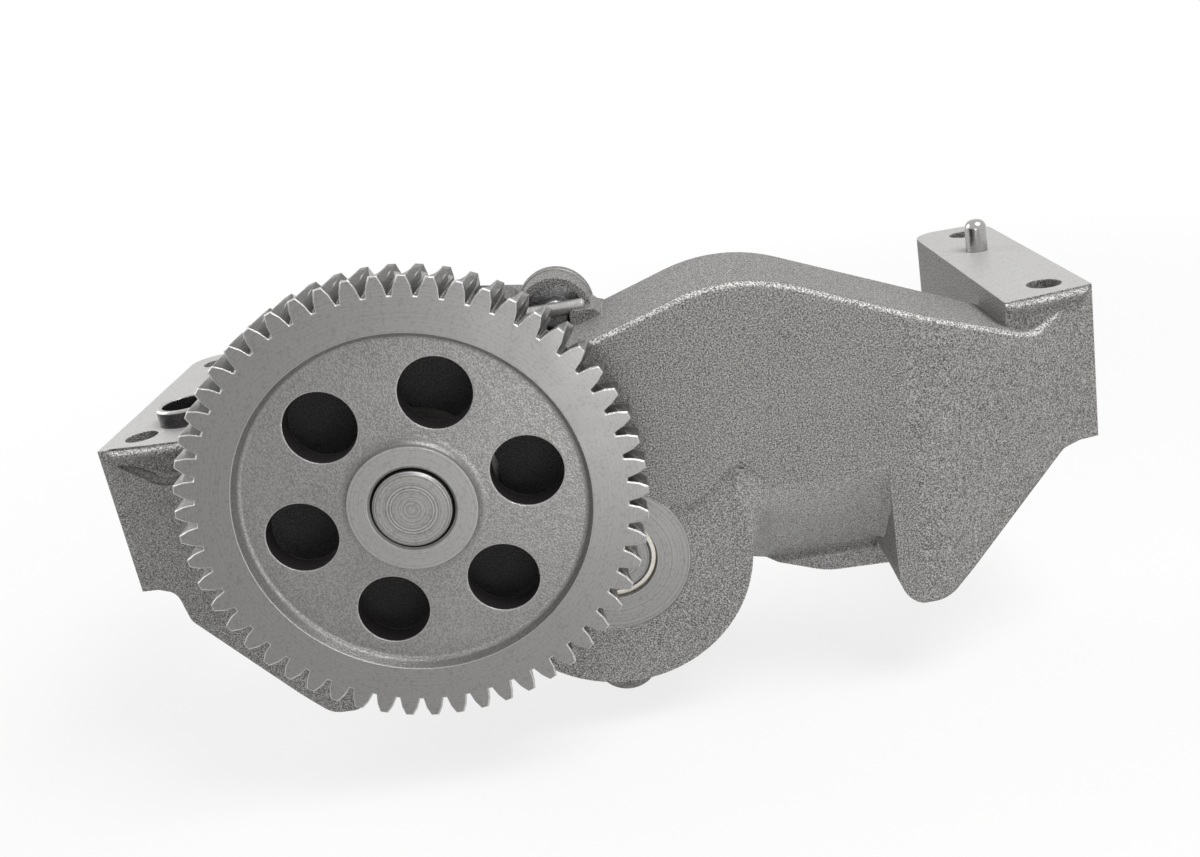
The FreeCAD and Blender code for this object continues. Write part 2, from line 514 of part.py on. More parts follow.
# feet: bolt holes, seats of the bolt heads, dowel, sleeve and the pressure gallery
foot_holes = new_sketch(housing, "foot_holes", "XY_Plane")
circles(foot_holes, [(BOLT_X, BOLT_FRONT_Y), ("-" + BOLT_X, BOLT_FRONT_Y), (BOLT_X, "-" + BOLT_FRONT_Y),
                     ("-" + BOLT_X, "-" + BOLT_FRONT_Y)], "Sizes.foot_bolt_hole / 2")
pocket(housing, foot_holes, "Sizes.foot_depth + 10")
dowel_hole = new_sketch(housing, "foot_dowel_hole", "XY_Plane")
circles(dowel_hole, [("Sizes.foot_dowel_x", "Sizes.foot_dowel_y")],
        "Sizes.foot_dowel_size / 2 + Sizes.fit_gap")
pocket(housing, dowel_hole, "Sizes.foot_dowel_sunk")
sleeve_seat = new_sketch(housing, "sleeve_seat", "XY_Plane")
circles(sleeve_seat, [("Sizes.sleeve_x", "Sizes.sleeve_y")], "Sizes.sleeve_size / 2 + Sizes.fit_gap")
pocket(housing, sleeve_seat, "Sizes.sleeve_sunk")
sleeve_drop = new_sketch(housing, "sleeve_drop", "XY_Plane")
circles(sleeve_drop, [("Sizes.sleeve_x", "Sizes.sleeve_y")], "Sizes.sleeve_size / 2 - Sizes.sleeve_wall")
pocket(housing, sleeve_drop, "-Sizes.gallery_level")
gallery = new_sketch(housing, "pressure_gallery", "YZ_Plane", "Sizes.sleeve_x")
circles(gallery, [("Sizes.sleeve_y - 7", "Sizes.gallery_level")], "Sizes.gallery_size / 2")
pocket(housing, gallery, "Sizes.gear_axis_x - %s - Sizes.sleeve_x + 3" % CHAMBER, True)


# Pump cover: rear casting that closes the chambers and carries the rear bushes
cover = new_body("pump_cover")
for name, x, z in (("gear", GEAR_X, GEAR_Z), ("idler", IDLER_X, IDLER_Z)):
    disc(cover, "cover_%s_lobe" % name, "Sizes.joint_plane", [(x, z)], "%s - 1" % LOBE,
         "Sizes.cover_depth", True)
cover_crest = front_sketch(cover, "cover_crest", "Sizes.joint_plane")
outline(cover_crest, [
    ("(Sizes.crest_left + 1)", "0", None), ("(Sizes.crest_left + 9)", "(Sizes.crest_left_top - 3.5)", "11"),
    ("(Sizes.crest_right - 1)", "(Sizes.crest_right_top - 3.5)", "6"), ("12", "12", "8"),
    ("20", "-20", None)])
pad(cover, cover_crest, "Sizes.cover_depth", True)
disc(cover, "fixing_bosses", "Sizes.joint_plane",
     [fixing_place(*item) for item in BOLT_ANGLES + DOWEL_ANGLES],
     "Sizes.fixing_boss_radius", "Sizes.cover_depth", True)
suction = front_sketch(cover, "suction_block", "Sizes.joint_plane")
outline(suction, [
    ("(Sizes.suction_x - 20)", "(Sizes.suction_z + 25)", None),
    ("(Sizes.suction_x - Sizes.suction_bore / 2 - Sizes.suction_wall)", "Sizes.suction_z", "8"),
    ("(Sizes.suction_x - 16)", "(Sizes.suction_z - Sizes.suction_bore / 2 - Sizes.suction_wall + 2)", "8"),
    ("(Sizes.suction_x + 22)", "(Sizes.suction_z - Sizes.suction_bore / 2 - Sizes.suction_wall + 2)", "8"),
    ("(Sizes.suction_x + 25)", "(Sizes.suction_z + 25)", None)])
pad(cover, suction, "Sizes.cover_depth", True)
disc(cover, "suction_boss", COVER_REAR, [("Sizes.suction_x", "Sizes.suction_z")],
     "Sizes.suction_bore / 2 + Sizes.suction_wall", "Sizes.suction_depth", True)
ear_places = [("(Sizes.suction_x %s Sizes.suction_ear_reach * cos(Sizes.suction_ear_turn * 1deg))" % sign,
               "(Sizes.suction_z %s Sizes.suction_ear_reach * sin(Sizes.suction_ear_turn * 1deg))" % sign)
              for sign in "+-"]
disc(cover, "suction_ears", COVER_REAR, ear_places, "Sizes.suction_ear_radius", "Sizes.suction_depth", True)
for name, x, z in (("gear", GEAR_X, GEAR_Z), ("idler", IDLER_X, IDLER_Z)):
    disc(cover, name + "_bearing_boss", COVER_REAR, [(x, z)], "Sizes.bearing_boss_radius",
         "Sizes.bearing_boss_depth", True)
disc(cover, "relief_flange", "Sizes.joint_plane", [RELIEF_PLACE],
     "Sizes.relief_bore / 2 + Sizes.relief_wall + 0.5", "Sizes.relief_flange_depth", True)
disc(cover, "relief_boss", "Sizes.joint_plane", [RELIEF_PLACE], "Sizes.plunger_size / 2 + 3",
     "%s + Sizes.relief_end_wall - Sizes.joint_plane" % RELIEF_END, True)
for name, x, z in (("gear", GEAR_X, GEAR_Z), ("idler", IDLER_X, IDLER_Z)):
    bore(cover, name + "_rear_bore", "Sizes.joint_plane", [(x, z)], BUSH_OUTER,
         "Sizes.cover_depth + Sizes.bearing_boss_depth", True)
bore(cover, "relief_rear_bore", "Sizes.joint_plane", [RELIEF_PLACE], "Sizes.plunger_size / 2",
     "%s - Sizes.joint_plane" % RELIEF_END, True)
bore(cover, "suction_bore", "Sizes.joint_plane", [("Sizes.suction_x", "Sizes.suction_z")],
     "Sizes.suction_bore / 2", "Sizes.cover_depth + Sizes.suction_depth", True)
thread_start = "(%s + Sizes.suction_depth - Sizes.suction_thread_depth)" % COVER_REAR
bore(cover, "suction_threads", thread_start, ear_places, "Sizes.suction_thread / 2",
     "Sizes.suction_thread_depth", True)
bore(cover, "bolt_holes", "Sizes.joint_plane", [fixing_place(*item) for item in BOLT_ANGLES],
     "Sizes.bolt_size / 2 + 0.5", "Sizes.cover_depth", True)
bore(cover, "cover_dowel_bores", "Sizes.joint_plane", [fixing_place(*item) for item in DOWEL_ANGLES],
     "Sizes.dowel_size / 2 + Sizes.fit_gap", "Sizes.dowel_length / 2", True)


# Drive gear: turned blank with a recessed web, and a ring of helical teeth
GEAR_FRONT = "(%s - Sizes.gear_reach)" % PLATE_FRONT
WEB_FRONT = "(%s + Sizes.web_front_sink)" % GEAR_FRONT
WEB_REAR = "(%s + Sizes.web_depth)" % WEB_FRONT
GEAR_REAR = "(%s + Sizes.gear_width)" % GEAR_FRONT
WASHER_FRONT = "(%s - Sizes.washer_depth)" % SPOT_FACE
HUB_FRONT = "(%s - Sizes.hub_front_proud)" % WEB_FRONT
HUB_REAR = "(%s - Sizes.hub_rear_gap)" % WASHER_FRONT


def tooth_outline(y, turn, shrink):
    """Outline of the toothed ring at one Y, turned by an angle and drawn in by an edge break."""
    teeth = int(number("Sizes.gear_teeth"))
    tip = number("Sizes.gear_tip_radius") - shrink
    root = number("Sizes.gear_root_radius") - shrink
    tip_half = (number("Sizes.tooth_tip_width") / 2 - shrink * 0.6) / tip
    root_half = (number("Sizes.tooth_root_width") / 2 - shrink * 0.6) / root
    mid = (tip + root) / 2 + 0.3
    mid_half = (tip_half + root_half) / 2 + 0.25 / mid
    centre_x, centre_z = number(GEAR_X), number(GEAR_Z)

    def point(radius, angle):
        return FreeCAD.Vector(centre_x + radius * math.cos(angle), y, centre_z + radius * math.sin(angle))

    corners = []
    for k in range(teeth):
        angle = math.radians(number("Sizes.gear_phase") + turn) + 2 * math.pi * k / teeth
        rise = [point(root, angle - root_half), point(mid, angle - mid_half), point(tip, angle - tip_half)]
        fall = [point(tip, angle + tip_half), point(mid, angle + mid_half), point(root, angle + root_half)]
        corners += rise + fall
    return Part.makePolygon(corners + corners[:1])


def toothed_ring():
    """Ruled solid through four outlines: both end faces have broken edges."""
    front, rear = number(GEAR_FRONT), number(GEAR_REAR)
    twist, small = number("Sizes.gear_twist"), number("Sizes.edge_break")
    share = small / (rear - front)
    sections = [tooth_outline(front, 0.0, small), tooth_outline(front + small, twist * share, 0.0),
                tooth_outline(rear - small, twist * (1 - share), 0.0), tooth_outline(rear, twist, small)]
    return Part.makeLoft(sections, True, True)


tooth_ring = document.addObject("Part::Feature", "tooth_ring")
tooth_ring.Shape = toothed_ring()

# groove and web of the blank, cut from both sides
for name, open_side, floor, towards in (("front_recess", GEAR_FRONT, WEB_FRONT, "-"),
                                        ("rear_recess", GEAR_REAR, WEB_REAR, "+")):
    turned(name, [
        ("(Sizes.hub_radius + 1)", floor, "2"),
        ("(Sizes.rim_inner_radius - Sizes.rim_slope)", floor, "Sizes.rim_round"),
        ("Sizes.rim_inner_radius", open_side, None),
        ("Sizes.rim_inner_radius", "(%s %s 1)" % (open_side, towards), None),
        ("Sizes.hub_radius", "(%s %s 1)" % (open_side, towards), None),
        ("Sizes.hub_radius", "(%s %s 1.5)" % (floor, towards), None)], (GEAR_X, "0", GEAR_Z))
hub = turned("gear_hub", ring_profile("0", "Sizes.hub_radius", HUB_FRONT, HUB_REAR, "0.8"),
             (GEAR_X, "0", GEAR_Z))
gear_bore = turned("gear_bore", [
    ("0", "(%s - 1)" % HUB_FRONT, None), ("(%s + 2)" % SHAFT_RADIUS, "(%s - 1)" % HUB_FRONT, None),
    (SHAFT_RADIUS, "(%s + 1)" % HUB_FRONT, None), (SHAFT_RADIUS, "(%s + 1)" % HUB_REAR, None),
    ("0", "(%s + 1)" % HUB_REAR, None)], (GEAR_X, "0", GEAR_Z))
holes = new_body("light_holes")
first_hole = front_sketch(holes, "first_light_hole", WEB_REAR + " + 2")
circles(first_hole, [("Sizes.light_hole_ring * cos(Sizes.light_hole_turn * 1deg)",
                      "Sizes.light_hole_ring * sin(Sizes.light_hole_turn * 1deg)")],
        "Sizes.light_hole_size / 2")
hole_rod = pad(holes, first_hole, "Sizes.web_depth + 6")
hole_ring = holes.newObject("PartDesign::PolarPattern", "hole_ring")
hole_ring.Originals = [hole_rod]
hole_ring.Axis = (next(item for item in holes.Origin.OriginFeatures if item.Role == "Y_Axis"), [""])
hole_ring.Angle = 360
hole_ring.setExpression("Occurrences", "Sizes.light_hole_count")
holes.AllowCompound = True
holes.Tip = hole_ring
for name, text in zip("xyz", (GEAR_X, "0", GEAR_Z)):
    holes.setExpression("Placement.Base." + name, text)
document.recompute()

recessed = document.addObject("Part::MultiFuse", "recesses")
recessed.Shapes = [document.getObject(name) for name in ("front_recess", "rear_recess")]
rim = document.addObject("Part::Cut", "rim")
rim.Base = tooth_ring
rim.Tool = recessed
blank = document.addObject("Part::MultiFuse", "blank")
blank.Shapes = [rim, hub]
drilled = document.addObject("Part::MultiFuse", "gear_cuts")
drilled.Shapes = [holes, gear_bore]
gear = document.addObject("Part::Cut", "drive_gear")
gear.Base = blank
gear.Tool = drilled
gear.Label = "drive_gear"
document.recompute()


# Shafts
SHAFT_REAR = "(%s - Sizes.bore_plug_depth - 1)" % BOSS_REAR
drive_shaft = turned("drive_shaft", rod_profile(
    SHAFT_RADIUS, "(%s - Sizes.shaft_front_proud)" % HUB_FRONT, SHAFT_REAR, "0.8"), (GEAR_X, "0", GEAR_Z))
idler_shaft = turned("idler_shaft", rod_profile(
    SHAFT_RADIUS, "(%s + 1.5)" % SPOT_FACE, SHAFT_REAR, "0.8"), (IDLER_X, "0", IDLER_Z))

# Bushes: thin sleeves pressed in the housing and in the cover
CHAMBER_FRONT = "(Sizes.joint_plane - %s)" % CHAMBER_DEPTH
for name, x, z in (("drive", GEAR_X, GEAR_Z), ("idler", IDLER_X, IDLER_Z)):
    inner = "(%s + Sizes.shaft_gap)" % SHAFT_RADIUS
    for end, start in (("front", "(%s - 0.3 - Sizes.bush_length)" % CHAMBER_FRONT),
                       ("rear", "(Sizes.joint_plane + 0.3)")):
        turned("bush_%s_%s" % (name, end),
               ring_profile(inner, BUSH_OUTER, start, "(%s + Sizes.bush_length)" % start), (x, "0", z))

# Thrust washer between the gear's hub and the housing
washer_inner = "(%s + 0.3)" % SHAFT_RADIUS
turned("thrust_washer", ring_profile(washer_inner, "Sizes.washer_radius", WASHER_FRONT, SPOT_FACE, "0.4"),
       (GEAR_X, "0", GEAR_Z))

# Plugs that close the rear bearing bores
plugs = []
for name, x, z in (("gear", GEAR_X, GEAR_Z), ("idler", IDLER_X, IDLER_Z)):
    plugs.append(turned(name + "_bore_plug", [
        ("0", "(%s - Sizes.bore_plug_depth)" % BOSS_REAR, None),
        ("(%s - 0.6)" % BUSH_OUTER, "(%s - Sizes.bore_plug_depth)" % BOSS_REAR, None),
        (BUSH_OUTER, "(%s - Sizes.bore_plug_depth + 0.6)" % BOSS_REAR, None), (BUSH_OUTER, BOSS_REAR, None),
        ("(%s - 1.5)" % BUSH_OUTER, BOSS_REAR, None),
        ("(%s - 1.5)" % BUSH_OUTER, "(%s - Sizes.bore_plug_depth + 1.2)" % BOSS_REAR, None),
        ("0", "(%s - Sizes.bore_plug_depth + 1.2)" % BOSS_REAR, None)], (x, "0", z)))
bore_plugs = document.addObject("Part::Compound", "bore_plugs")
bore_plugs.Links = plugs
bore_plugs.Label = "bore_plugs"


# Rotors: involute spur teeth, a mirrored pair in mesh
def rotor_outline(phase):
    """Closed outline of one rotor about its own axis, seen from the front."""
    teeth = int(number("Sizes.rotor_teeth"))
    pitch = number("Sizes.rotor_distance") / 2
    module = 2 * pitch / teeth
    base = pitch * math.cos(math.radians(25))
    tip = number(ROTOR_TIP)
    root = pitch - 1.2 * module
    half_pitch = math.pi / (2 * teeth) - number("Sizes.rotor_backlash") / (4 * pitch)

    def spread(radius):
        if radius <= base:
            return 0.0
        roll = math.sqrt((radius / base) ** 2 - 1)
        return roll - math.atan(roll)

    def half_angle(radius):
        return half_pitch + spread(pitch) - spread(radius)

    def point(radius, angle):
        return FreeCAD.Vector(radius * math.cos(angle), 0, radius * math.sin(angle))

    def arc(*ends):
        return Part.Arc(*[point(radius, angle) for radius, angle in ends]).toShape()

    def straight(start_radius, end_radius, angle):
        return Part.LineSegment(point(start_radius, angle), point(end_radius, angle)).toShape()

    start = max(base, root + 0.4)
    mid = (start + tip) / 2
    edges = []
    for k in range(teeth):
        angle = phase + 2 * math.pi * k / teeth
        following = angle + 2 * math.pi / teeth
        foot, waist, crown = half_angle(start), half_angle(mid), half_angle(tip)
        edges.append(straight(root, start, angle - foot))
        edges.append(arc((start, angle - foot), (mid, angle - waist), (tip, angle - crown)))
        edges.append(arc((tip, angle - crown), (tip, angle), (tip, angle + crown)))
        edges.append(arc((tip, angle + crown), (mid, angle + waist), (start, angle + foot)))
        edges.append(straight(start, root, angle + foot))
        edges.append(arc((root, angle + foot), (root, (angle + following) / 2), (root, following - foot)))
    return Part.Wire(edges)


ROTOR_REAR = "(Sizes.joint_plane - Sizes.rotor_side_gap)"
line_of_centres = math.radians(number("Sizes.idler_angle"))
half_tooth = math.pi / number("Sizes.rotor_teeth")
key_half, key_rise, key_length = 3.0, 2.8, 24.0
for label, x, z, phase, keyed in (
        ("driving_rotor", GEAR_X, GEAR_Z, line_of_centres, True),
        ("driven_rotor", IDLER_X, IDLER_Z, line_of_centres + math.pi + half_tooth, False)):
    face = Part.Face(rotor_outline(phase))
    solid = face.extrude(FreeCAD.Vector(0, -number("Sizes.rotor_width"), 0))
    bore_rod = Part.makeCylinder(number(SHAFT_RADIUS), number("Sizes.rotor_width") + 2,
                                 FreeCAD.Vector(0, 1, 0), FreeCAD.Vector(0, -1, 0))
    solid = solid.cut(bore_rod)
    if keyed:
        slot = Part.makeBox(2 * key_half, number("Sizes.rotor_width") + 2, number(SHAFT_RADIUS) + key_rise,
                            FreeCAD.Vector(-key_half, -number("Sizes.rotor_width") - 1, 0))
        solid = solid.cut(slot)
    rotor = document.addObject("Part::Feature", label)
    rotor.Shape = solid
    rotor.Label = label
    rotor.Placement.Base = FreeCAD.Vector(number(x), number(ROTOR_REAR), number(z))

# Key between the drive shaft and the driving rotor, and its seat in the shaft
key = document.addObject("Part::Box", "rotor_key")
key.Label = "rotor_key"
key.Length = 2 * key_half
key.Width = key_length
key.Height = 6.0
key.setExpression("Placement.Base.x", "%s - 3" % GEAR_X)
key.setExpression("Placement.Base.y", "%s - Sizes.rotor_width / 2 - 12" % ROTOR_REAR)
key.setExpression("Placement.Base.z", "%s + %s + 2.6 - 6" % (GEAR_Z, SHAFT_RADIUS))
seat = new_sketch(drive_shaft, "key_seat", "XY_Plane", "%s + 2.6 - 6" % SHAFT_RADIUS)
outline(seat, [("-3", "(%s - Sizes.rotor_width / 2 - 12)" % ROTOR_REAR, None),
               ("-3", "(%s - Sizes.rotor_width / 2 + 12)" % ROTOR_REAR, None),
               ("3", "(%s - Sizes.rotor_width / 2 + 12)" % ROTOR_REAR, None),
               ("3", "(%s - Sizes.rotor_width / 2 - 12)" % ROTOR_REAR, None)])
document.recompute()
pocket(drive_shaft, seat, "10", True)


# Dowel of the right foot, and outlet sleeve of the left foot
turned("foot_dowel", [
    ("0", "-Sizes.foot_dowel_sunk", None), ("Sizes.foot_dowel_size / 2", "-Sizes.foot_dowel_sunk", None)]
    + neck("Sizes.foot_dowel_size / 2") +
    [("Sizes.foot_dowel_size / 2", "Sizes.foot_dowel_proud", "3.2"), ("0", "Sizes.foot_dowel_proud", None)],
    ("Sizes.foot_dowel_x", "Sizes.foot_dowel_y", "0"), "XZ_Plane")
turned("outlet_sleeve", [
    ("(Sizes.sleeve_size / 2 - Sizes.sleeve_wall)", "-Sizes.sleeve_sunk", None),
    ("Sizes.sleeve_size / 2", "-Sizes.sleeve_sunk", None)]
    + neck("Sizes.sleeve_size / 2") +
    [("Sizes.sleeve_size / 2", "(Sizes.sleeve_proud - 0.6)", None),
     ("(Sizes.sleeve_size / 2 - 0.6)", "Sizes.sleeve_proud", None),
     ("(Sizes.sleeve_size / 2 - Sizes.sleeve_wall)", "Sizes.sleeve_proud", None)],
    ("Sizes.sleeve_x", "Sizes.sleeve_y", "0"), "XZ_Plane")

# Cover bolts with flanged hexagon heads, and hollow dowels of the cover
bolt = turned("cover_bolt", [
    ("0", "-Sizes.bolt_sunk - Sizes.cover_depth", None),
    ("(Sizes.bolt_size / 2 - 0.8)", "-Sizes.bolt_sunk - Sizes.cover_depth", None),
    ("Sizes.bolt_size / 2", "(-Sizes.bolt_sunk - Sizes.cover_depth + 0.8)", None),
    ("Sizes.bolt_size / 2", "0", None), ("Sizes.bolt_flange_radius", "0", None),
    ("Sizes.bolt_flange_radius", "Sizes.bolt_flange_depth / 2", None),
    ("Sizes.bolt_head_across / 2", "Sizes.bolt_flange_depth", None), ("0", "Sizes.bolt_flange_depth", None)],
    ("0", "0", "0"))
document.recompute()
head = front_sketch(bolt, "bolt_head", "Sizes.bolt_flange_depth")
corner = "(Sizes.bolt_head_across / sqrt(3))"
outline(head, [("%s * cos(%d * 1deg)" % (corner, 60 * k), "%s * sin(%d * 1deg)" % (corner, 60 * k), None)
               for k in range(6)])
pad(bolt, head, "Sizes.bolt_head_height - Sizes.bolt_flange_depth", True)


def group(label, master, places, y):
    """One node of equal pieces, each a linked copy at its own place."""
    copies = []
    for index, (x, z) in enumerate(places, 1):
        copy = document.addObject("App::Link", "%s_%d" % (label, index))
        copy.LinkedObject = master
        copy.setExpression("Placement.Base.x", x)
        copy.setExpression("Placement.Base.y", y)
        copy.setExpression("Placement.Base.z", z)
        copies.append(copy)
    whole = document.addObject("Part::Compound", label)
    whole.Links = copies
    whole.Label = label
    return whole


group("cover_bolts", bolt, [fixing_place(*item) for item in BOLT_ANGLES], COVER_REAR)
dowel_profile = ring_profile("(Sizes.bolt_size / 2 - 0.5)", "Sizes.dowel_size / 2", "-Sizes.dowel_length / 2",
                             "Sizes.dowel_length / 2", "0.5")
dowel = turned("cover_dowel", dowel_profile, ("0", "0", "0"))
group("cover_dowels", dowel, [fixing_place(*item) for item in DOWEL_ANGLES], "Sizes.joint_plane")

# Relief valve: plunger on its seat, spring, cap and the pin that holds them
PLUNGER_RADIUS = "(Sizes.plunger_size / 2 - Sizes.relief_gap)"
CAP_RADIUS = "(Sizes.relief_bore / 2 - Sizes.relief_gap)"
relief_axis = ("Sizes.relief_x", "0", "Sizes.relief_z")
CAP_FRONT = "(%s + Sizes.cap_sunk)" % RELIEF_FRONT
CAP_REAR = "(%s + Sizes.cap_depth)" % CAP_FRONT
STUB_FRONT = "(%s + Sizes.fit_gap)" % RELIEF_FRONT
PLUNGER_REAR = "(%s - 0.3)" % RELIEF_END
PLUNGER_FRONT = "(%s - Sizes.plunger_length)" % PLUNGER_REAR
turned("relief_plunger", [
    ("0", PLUNGER_REAR, None), ("(%s - 1.5)" % PLUNGER_RADIUS, PLUNGER_REAR, None),
    (PLUNGER_RADIUS, "(%s - 1.5)" % PLUNGER_REAR, None), (PLUNGER_RADIUS, PLUNGER_FRONT, None),
    ("(%s - Sizes.plunger_wall)" % PLUNGER_RADIUS, PLUNGER_FRONT, None),
    ("(%s - Sizes.plunger_wall)" % PLUNGER_RADIUS, "(%s + Sizes.plunger_hollow)" % PLUNGER_FRONT, None),
    ("0", "(%s + Sizes.plunger_hollow)" % PLUNGER_FRONT, None)], relief_axis)
turned("relief_cap", [
    ("0", STUB_FRONT, None), ("(Sizes.cap_stub_radius - 0.6)", STUB_FRONT, None),
    ("Sizes.cap_stub_radius", "(%s + 0.6)" % STUB_FRONT, None), ("Sizes.cap_stub_radius", CAP_FRONT, None),
    ("(%s - 0.8)" % CAP_RADIUS, CAP_FRONT, None), (CAP_RADIUS, "(%s + 0.8)" % CAP_FRONT, None),
    (CAP_RADIUS, CAP_REAR, None), ("0", CAP_REAR, None)], relief_axis)


def spring_ring(turn, start, rise):
    """Eight-sided section of the spring's wire at one turn about its own axis, which is Y."""
    wire, mean = number("Sizes.spring_wire") / 2, number("Sizes.spring_radius")
    corners = []
    for k in range(9):
        side = 2 * math.pi * k / 8
        reach = mean + wire * math.cos(side)
        corners.append(FreeCAD.Vector(reach * math.cos(2 * math.pi * turn),
                                      start + rise * turn + wire * math.sin(side),
                                      reach * math.sin(2 * math.pi * turn)))
    return Part.makePolygon(corners)


spring_start = number(CAP_REAR) + number("Sizes.spring_wire") / 2 + 0.1
spring_end = number(PLUNGER_FRONT) + number("Sizes.plunger_hollow") - number("Sizes.spring_wire") / 2 - 0.1
coils = number("Sizes.spring_coils")
steps = int(coils * 14)
spring = document.addObject("Part::Feature", "relief_spring")
spring.Shape = Part.makeLoft([spring_ring(k / 14.0, spring_start, (spring_end - spring_start) / coils)
                              for k in range(steps + 1)], True, True)
spring.Label = "relief_spring"
spring.Placement.Base = FreeCAD.Vector(number("Sizes.relief_x"), 0, number("Sizes.relief_z"))
turned("relief_pin", [
    ("Sizes.relief_pin_left", "0", None), ("(Sizes.relief_pin_right - 0.1)", "0", None),
    ("(Sizes.relief_pin_right - 0.1)", "(Sizes.relief_pin_size / 2 - 0.8)", None),
    ("(Sizes.relief_pin_right - 0.9)", "Sizes.relief_pin_size / 2", None),
    ("Sizes.relief_pin_left", "Sizes.relief_pin_size / 2", None)],
    ("0", RELIEF_PIN_Y, RELIEF_PIN_Z), "XY_Plane", "H_Axis")

NODES = [
    "pump_housing", "pump_cover", "drive_gear", "drive_shaft", "driving_rotor", "rotor_key",
    "idler_shaft", "driven_rotor", "bush_drive_front", "bush_drive_rear", "bush_idler_front",
    "bush_idler_rear", "thrust_washer", "bore_plugs", "cover_bolts", "cover_dowels", "foot_dowel",
    "outlet_sleeve", "relief_plunger", "relief_spring", "relief_cap", "relief_pin",
]

document.recompute()
for item in document.Objects:
    if "Invalid" in item.State or "Error" in item.State:
        raise ValueError("%s failed: %s" % (item.Name, item.State))
os.makedirs("parts", exist_ok=True)
for node in NODES:
    shape = document.getObjectsByLabel(node)[0].Shape
    if shape.isNull() or not shape.isValid() or not shape.Solids:
        raise ValueError("%s has no sound solid" % node)
    shape.exportStep("parts/%s.step" % node)
    print(node, len(shape.Solids), round(shape.Volume, 1), shape.BoundBox)
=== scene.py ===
import math

import bmesh
import bpy
from mathutils import Euler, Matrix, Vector


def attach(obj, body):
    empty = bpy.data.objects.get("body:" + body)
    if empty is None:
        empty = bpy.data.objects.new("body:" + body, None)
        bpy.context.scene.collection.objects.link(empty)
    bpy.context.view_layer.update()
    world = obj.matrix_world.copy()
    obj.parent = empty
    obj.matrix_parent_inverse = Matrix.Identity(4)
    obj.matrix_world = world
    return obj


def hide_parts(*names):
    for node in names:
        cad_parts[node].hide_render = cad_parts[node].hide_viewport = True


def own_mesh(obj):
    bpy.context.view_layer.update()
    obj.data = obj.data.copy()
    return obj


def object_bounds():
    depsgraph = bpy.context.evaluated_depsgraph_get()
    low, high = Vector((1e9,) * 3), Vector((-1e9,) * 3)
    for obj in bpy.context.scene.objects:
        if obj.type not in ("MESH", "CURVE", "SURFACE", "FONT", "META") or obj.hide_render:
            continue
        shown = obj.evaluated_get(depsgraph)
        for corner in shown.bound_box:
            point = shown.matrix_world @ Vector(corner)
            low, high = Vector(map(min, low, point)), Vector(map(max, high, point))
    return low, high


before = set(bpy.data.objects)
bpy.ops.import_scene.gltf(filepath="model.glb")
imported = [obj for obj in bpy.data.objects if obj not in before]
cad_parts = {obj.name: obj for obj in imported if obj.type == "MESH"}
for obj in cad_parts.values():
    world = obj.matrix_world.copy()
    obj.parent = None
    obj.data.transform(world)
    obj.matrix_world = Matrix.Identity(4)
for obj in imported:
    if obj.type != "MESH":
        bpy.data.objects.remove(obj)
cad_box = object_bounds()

# Pump housing: one grey iron casting that bridges from the left foot to the right foot, blasted after
# casting. Its skin is coarse sand grain. The foot pads are milled and the seats round both shafts are
# turned, and the bores for shafts, bolts and pins are drilled and reamed.
GEAR_AXIS = Vector((-0.0585, 0.0, -0.0225))
IDLER_AXIS = Vector((-0.0008112, 0.0, -0.0621484))
SPOT_RADIUS = 0.0262
BORE_RADIUS = 0.0148
JOINT_LEVEL = -0.0305
SOLID_GAP = 1e-6
FACET_TURN, SHARP_TURN = math.radians(0.4), math.radians(32)
SQUARE_ON, LEVEL_GAP = 0.95, 0.0003
# Painted shade: near-black colour laid on the housing's skin round the gear's axis, behind the gear, where it
# shows through the gear's holes.
PAINTED_SHADE_SHARE, PAINTED_SHADE_FADE, PAINTED_SHADE_COLOUR = 0.92, 0.006, (0.003, 0.002, 0.003, 1)


def add_node(tree, kind, inputs=None, **settings):
    """A node of a material, with its settings, values and incoming links."""
    node = tree.nodes.new(kind)
    for key, value in settings.items():
        setattr(node, key, value)
    for key, value in (inputs or {}).items():
        if isinstance(value, bpy.types.NodeSocket):
            tree.links.new(value, node.inputs[key])
        else:
            node.inputs[key].default_value = value
    return node


def math_step(tree, operation, first, second=0.0):
    return add_node(tree, "ShaderNodeMath", {0: first, 1: second}, operation=operation).outputs[0]


def spread(tree, value, low, high, to_low=0.0, to_high=1.0):
    """A value taken from one range to another, held at both ends."""
    step = add_node(tree, "ShaderNodeMapRange", {"Value": value, "From Min": low, "From Max": high,
                                                 "To Min": to_low, "To Max": to_high})
    return step.outputs[0]


def blend_colours(tree, share, first, second):
    step = add_node(tree, "ShaderNodeMix", {"Factor": share, "A": first, "B": second}, data_type="RGBA")
    return step.outputs["Result"]


def new_effect(name, inputs, outputs):
    """Empty shader node group with named inputs (kind, start value) and outputs (kind)."""
    tree = bpy.data.node_groups.new(name, "ShaderNodeTree")
    for label, (kind, start) in inputs.items():
        socket = tree.interface.new_socket(name=label, in_out="INPUT", socket_type=kind)
        socket.default_value = start
    for label, kind in outputs.items():
        tree.interface.new_socket(name=label, in_out="OUTPUT", socket_type=kind)
    return tree, add_node(tree, "NodeGroupInput").outputs, add_node(tree, "NodeGroupOutput").inputs


def use_effect(tree, effect, inputs):
    return add_node(tree, "ShaderNodeGroup", inputs, node_tree=effect).outputs


def distance_from_axis(tree, given):
    """Distance from the line through Centre; Across is 0 along the direction of that line."""
    place = add_node(tree, "ShaderNodeTexCoord").outputs["Object"]
    away = add_node(tree, "ShaderNodeVectorMath", {0: place, 1: given["Centre"]}, operation="SUBTRACT")
    flat = add_node(tree, "ShaderNodeVectorMath", {0: away.outputs[0], 1: given["Across"]},
                    operation="MULTIPLY")
    return add_node(tree, "ShaderNodeVectorMath", {0: flat.outputs[0]}, operation="LENGTH").outputs["Value"]


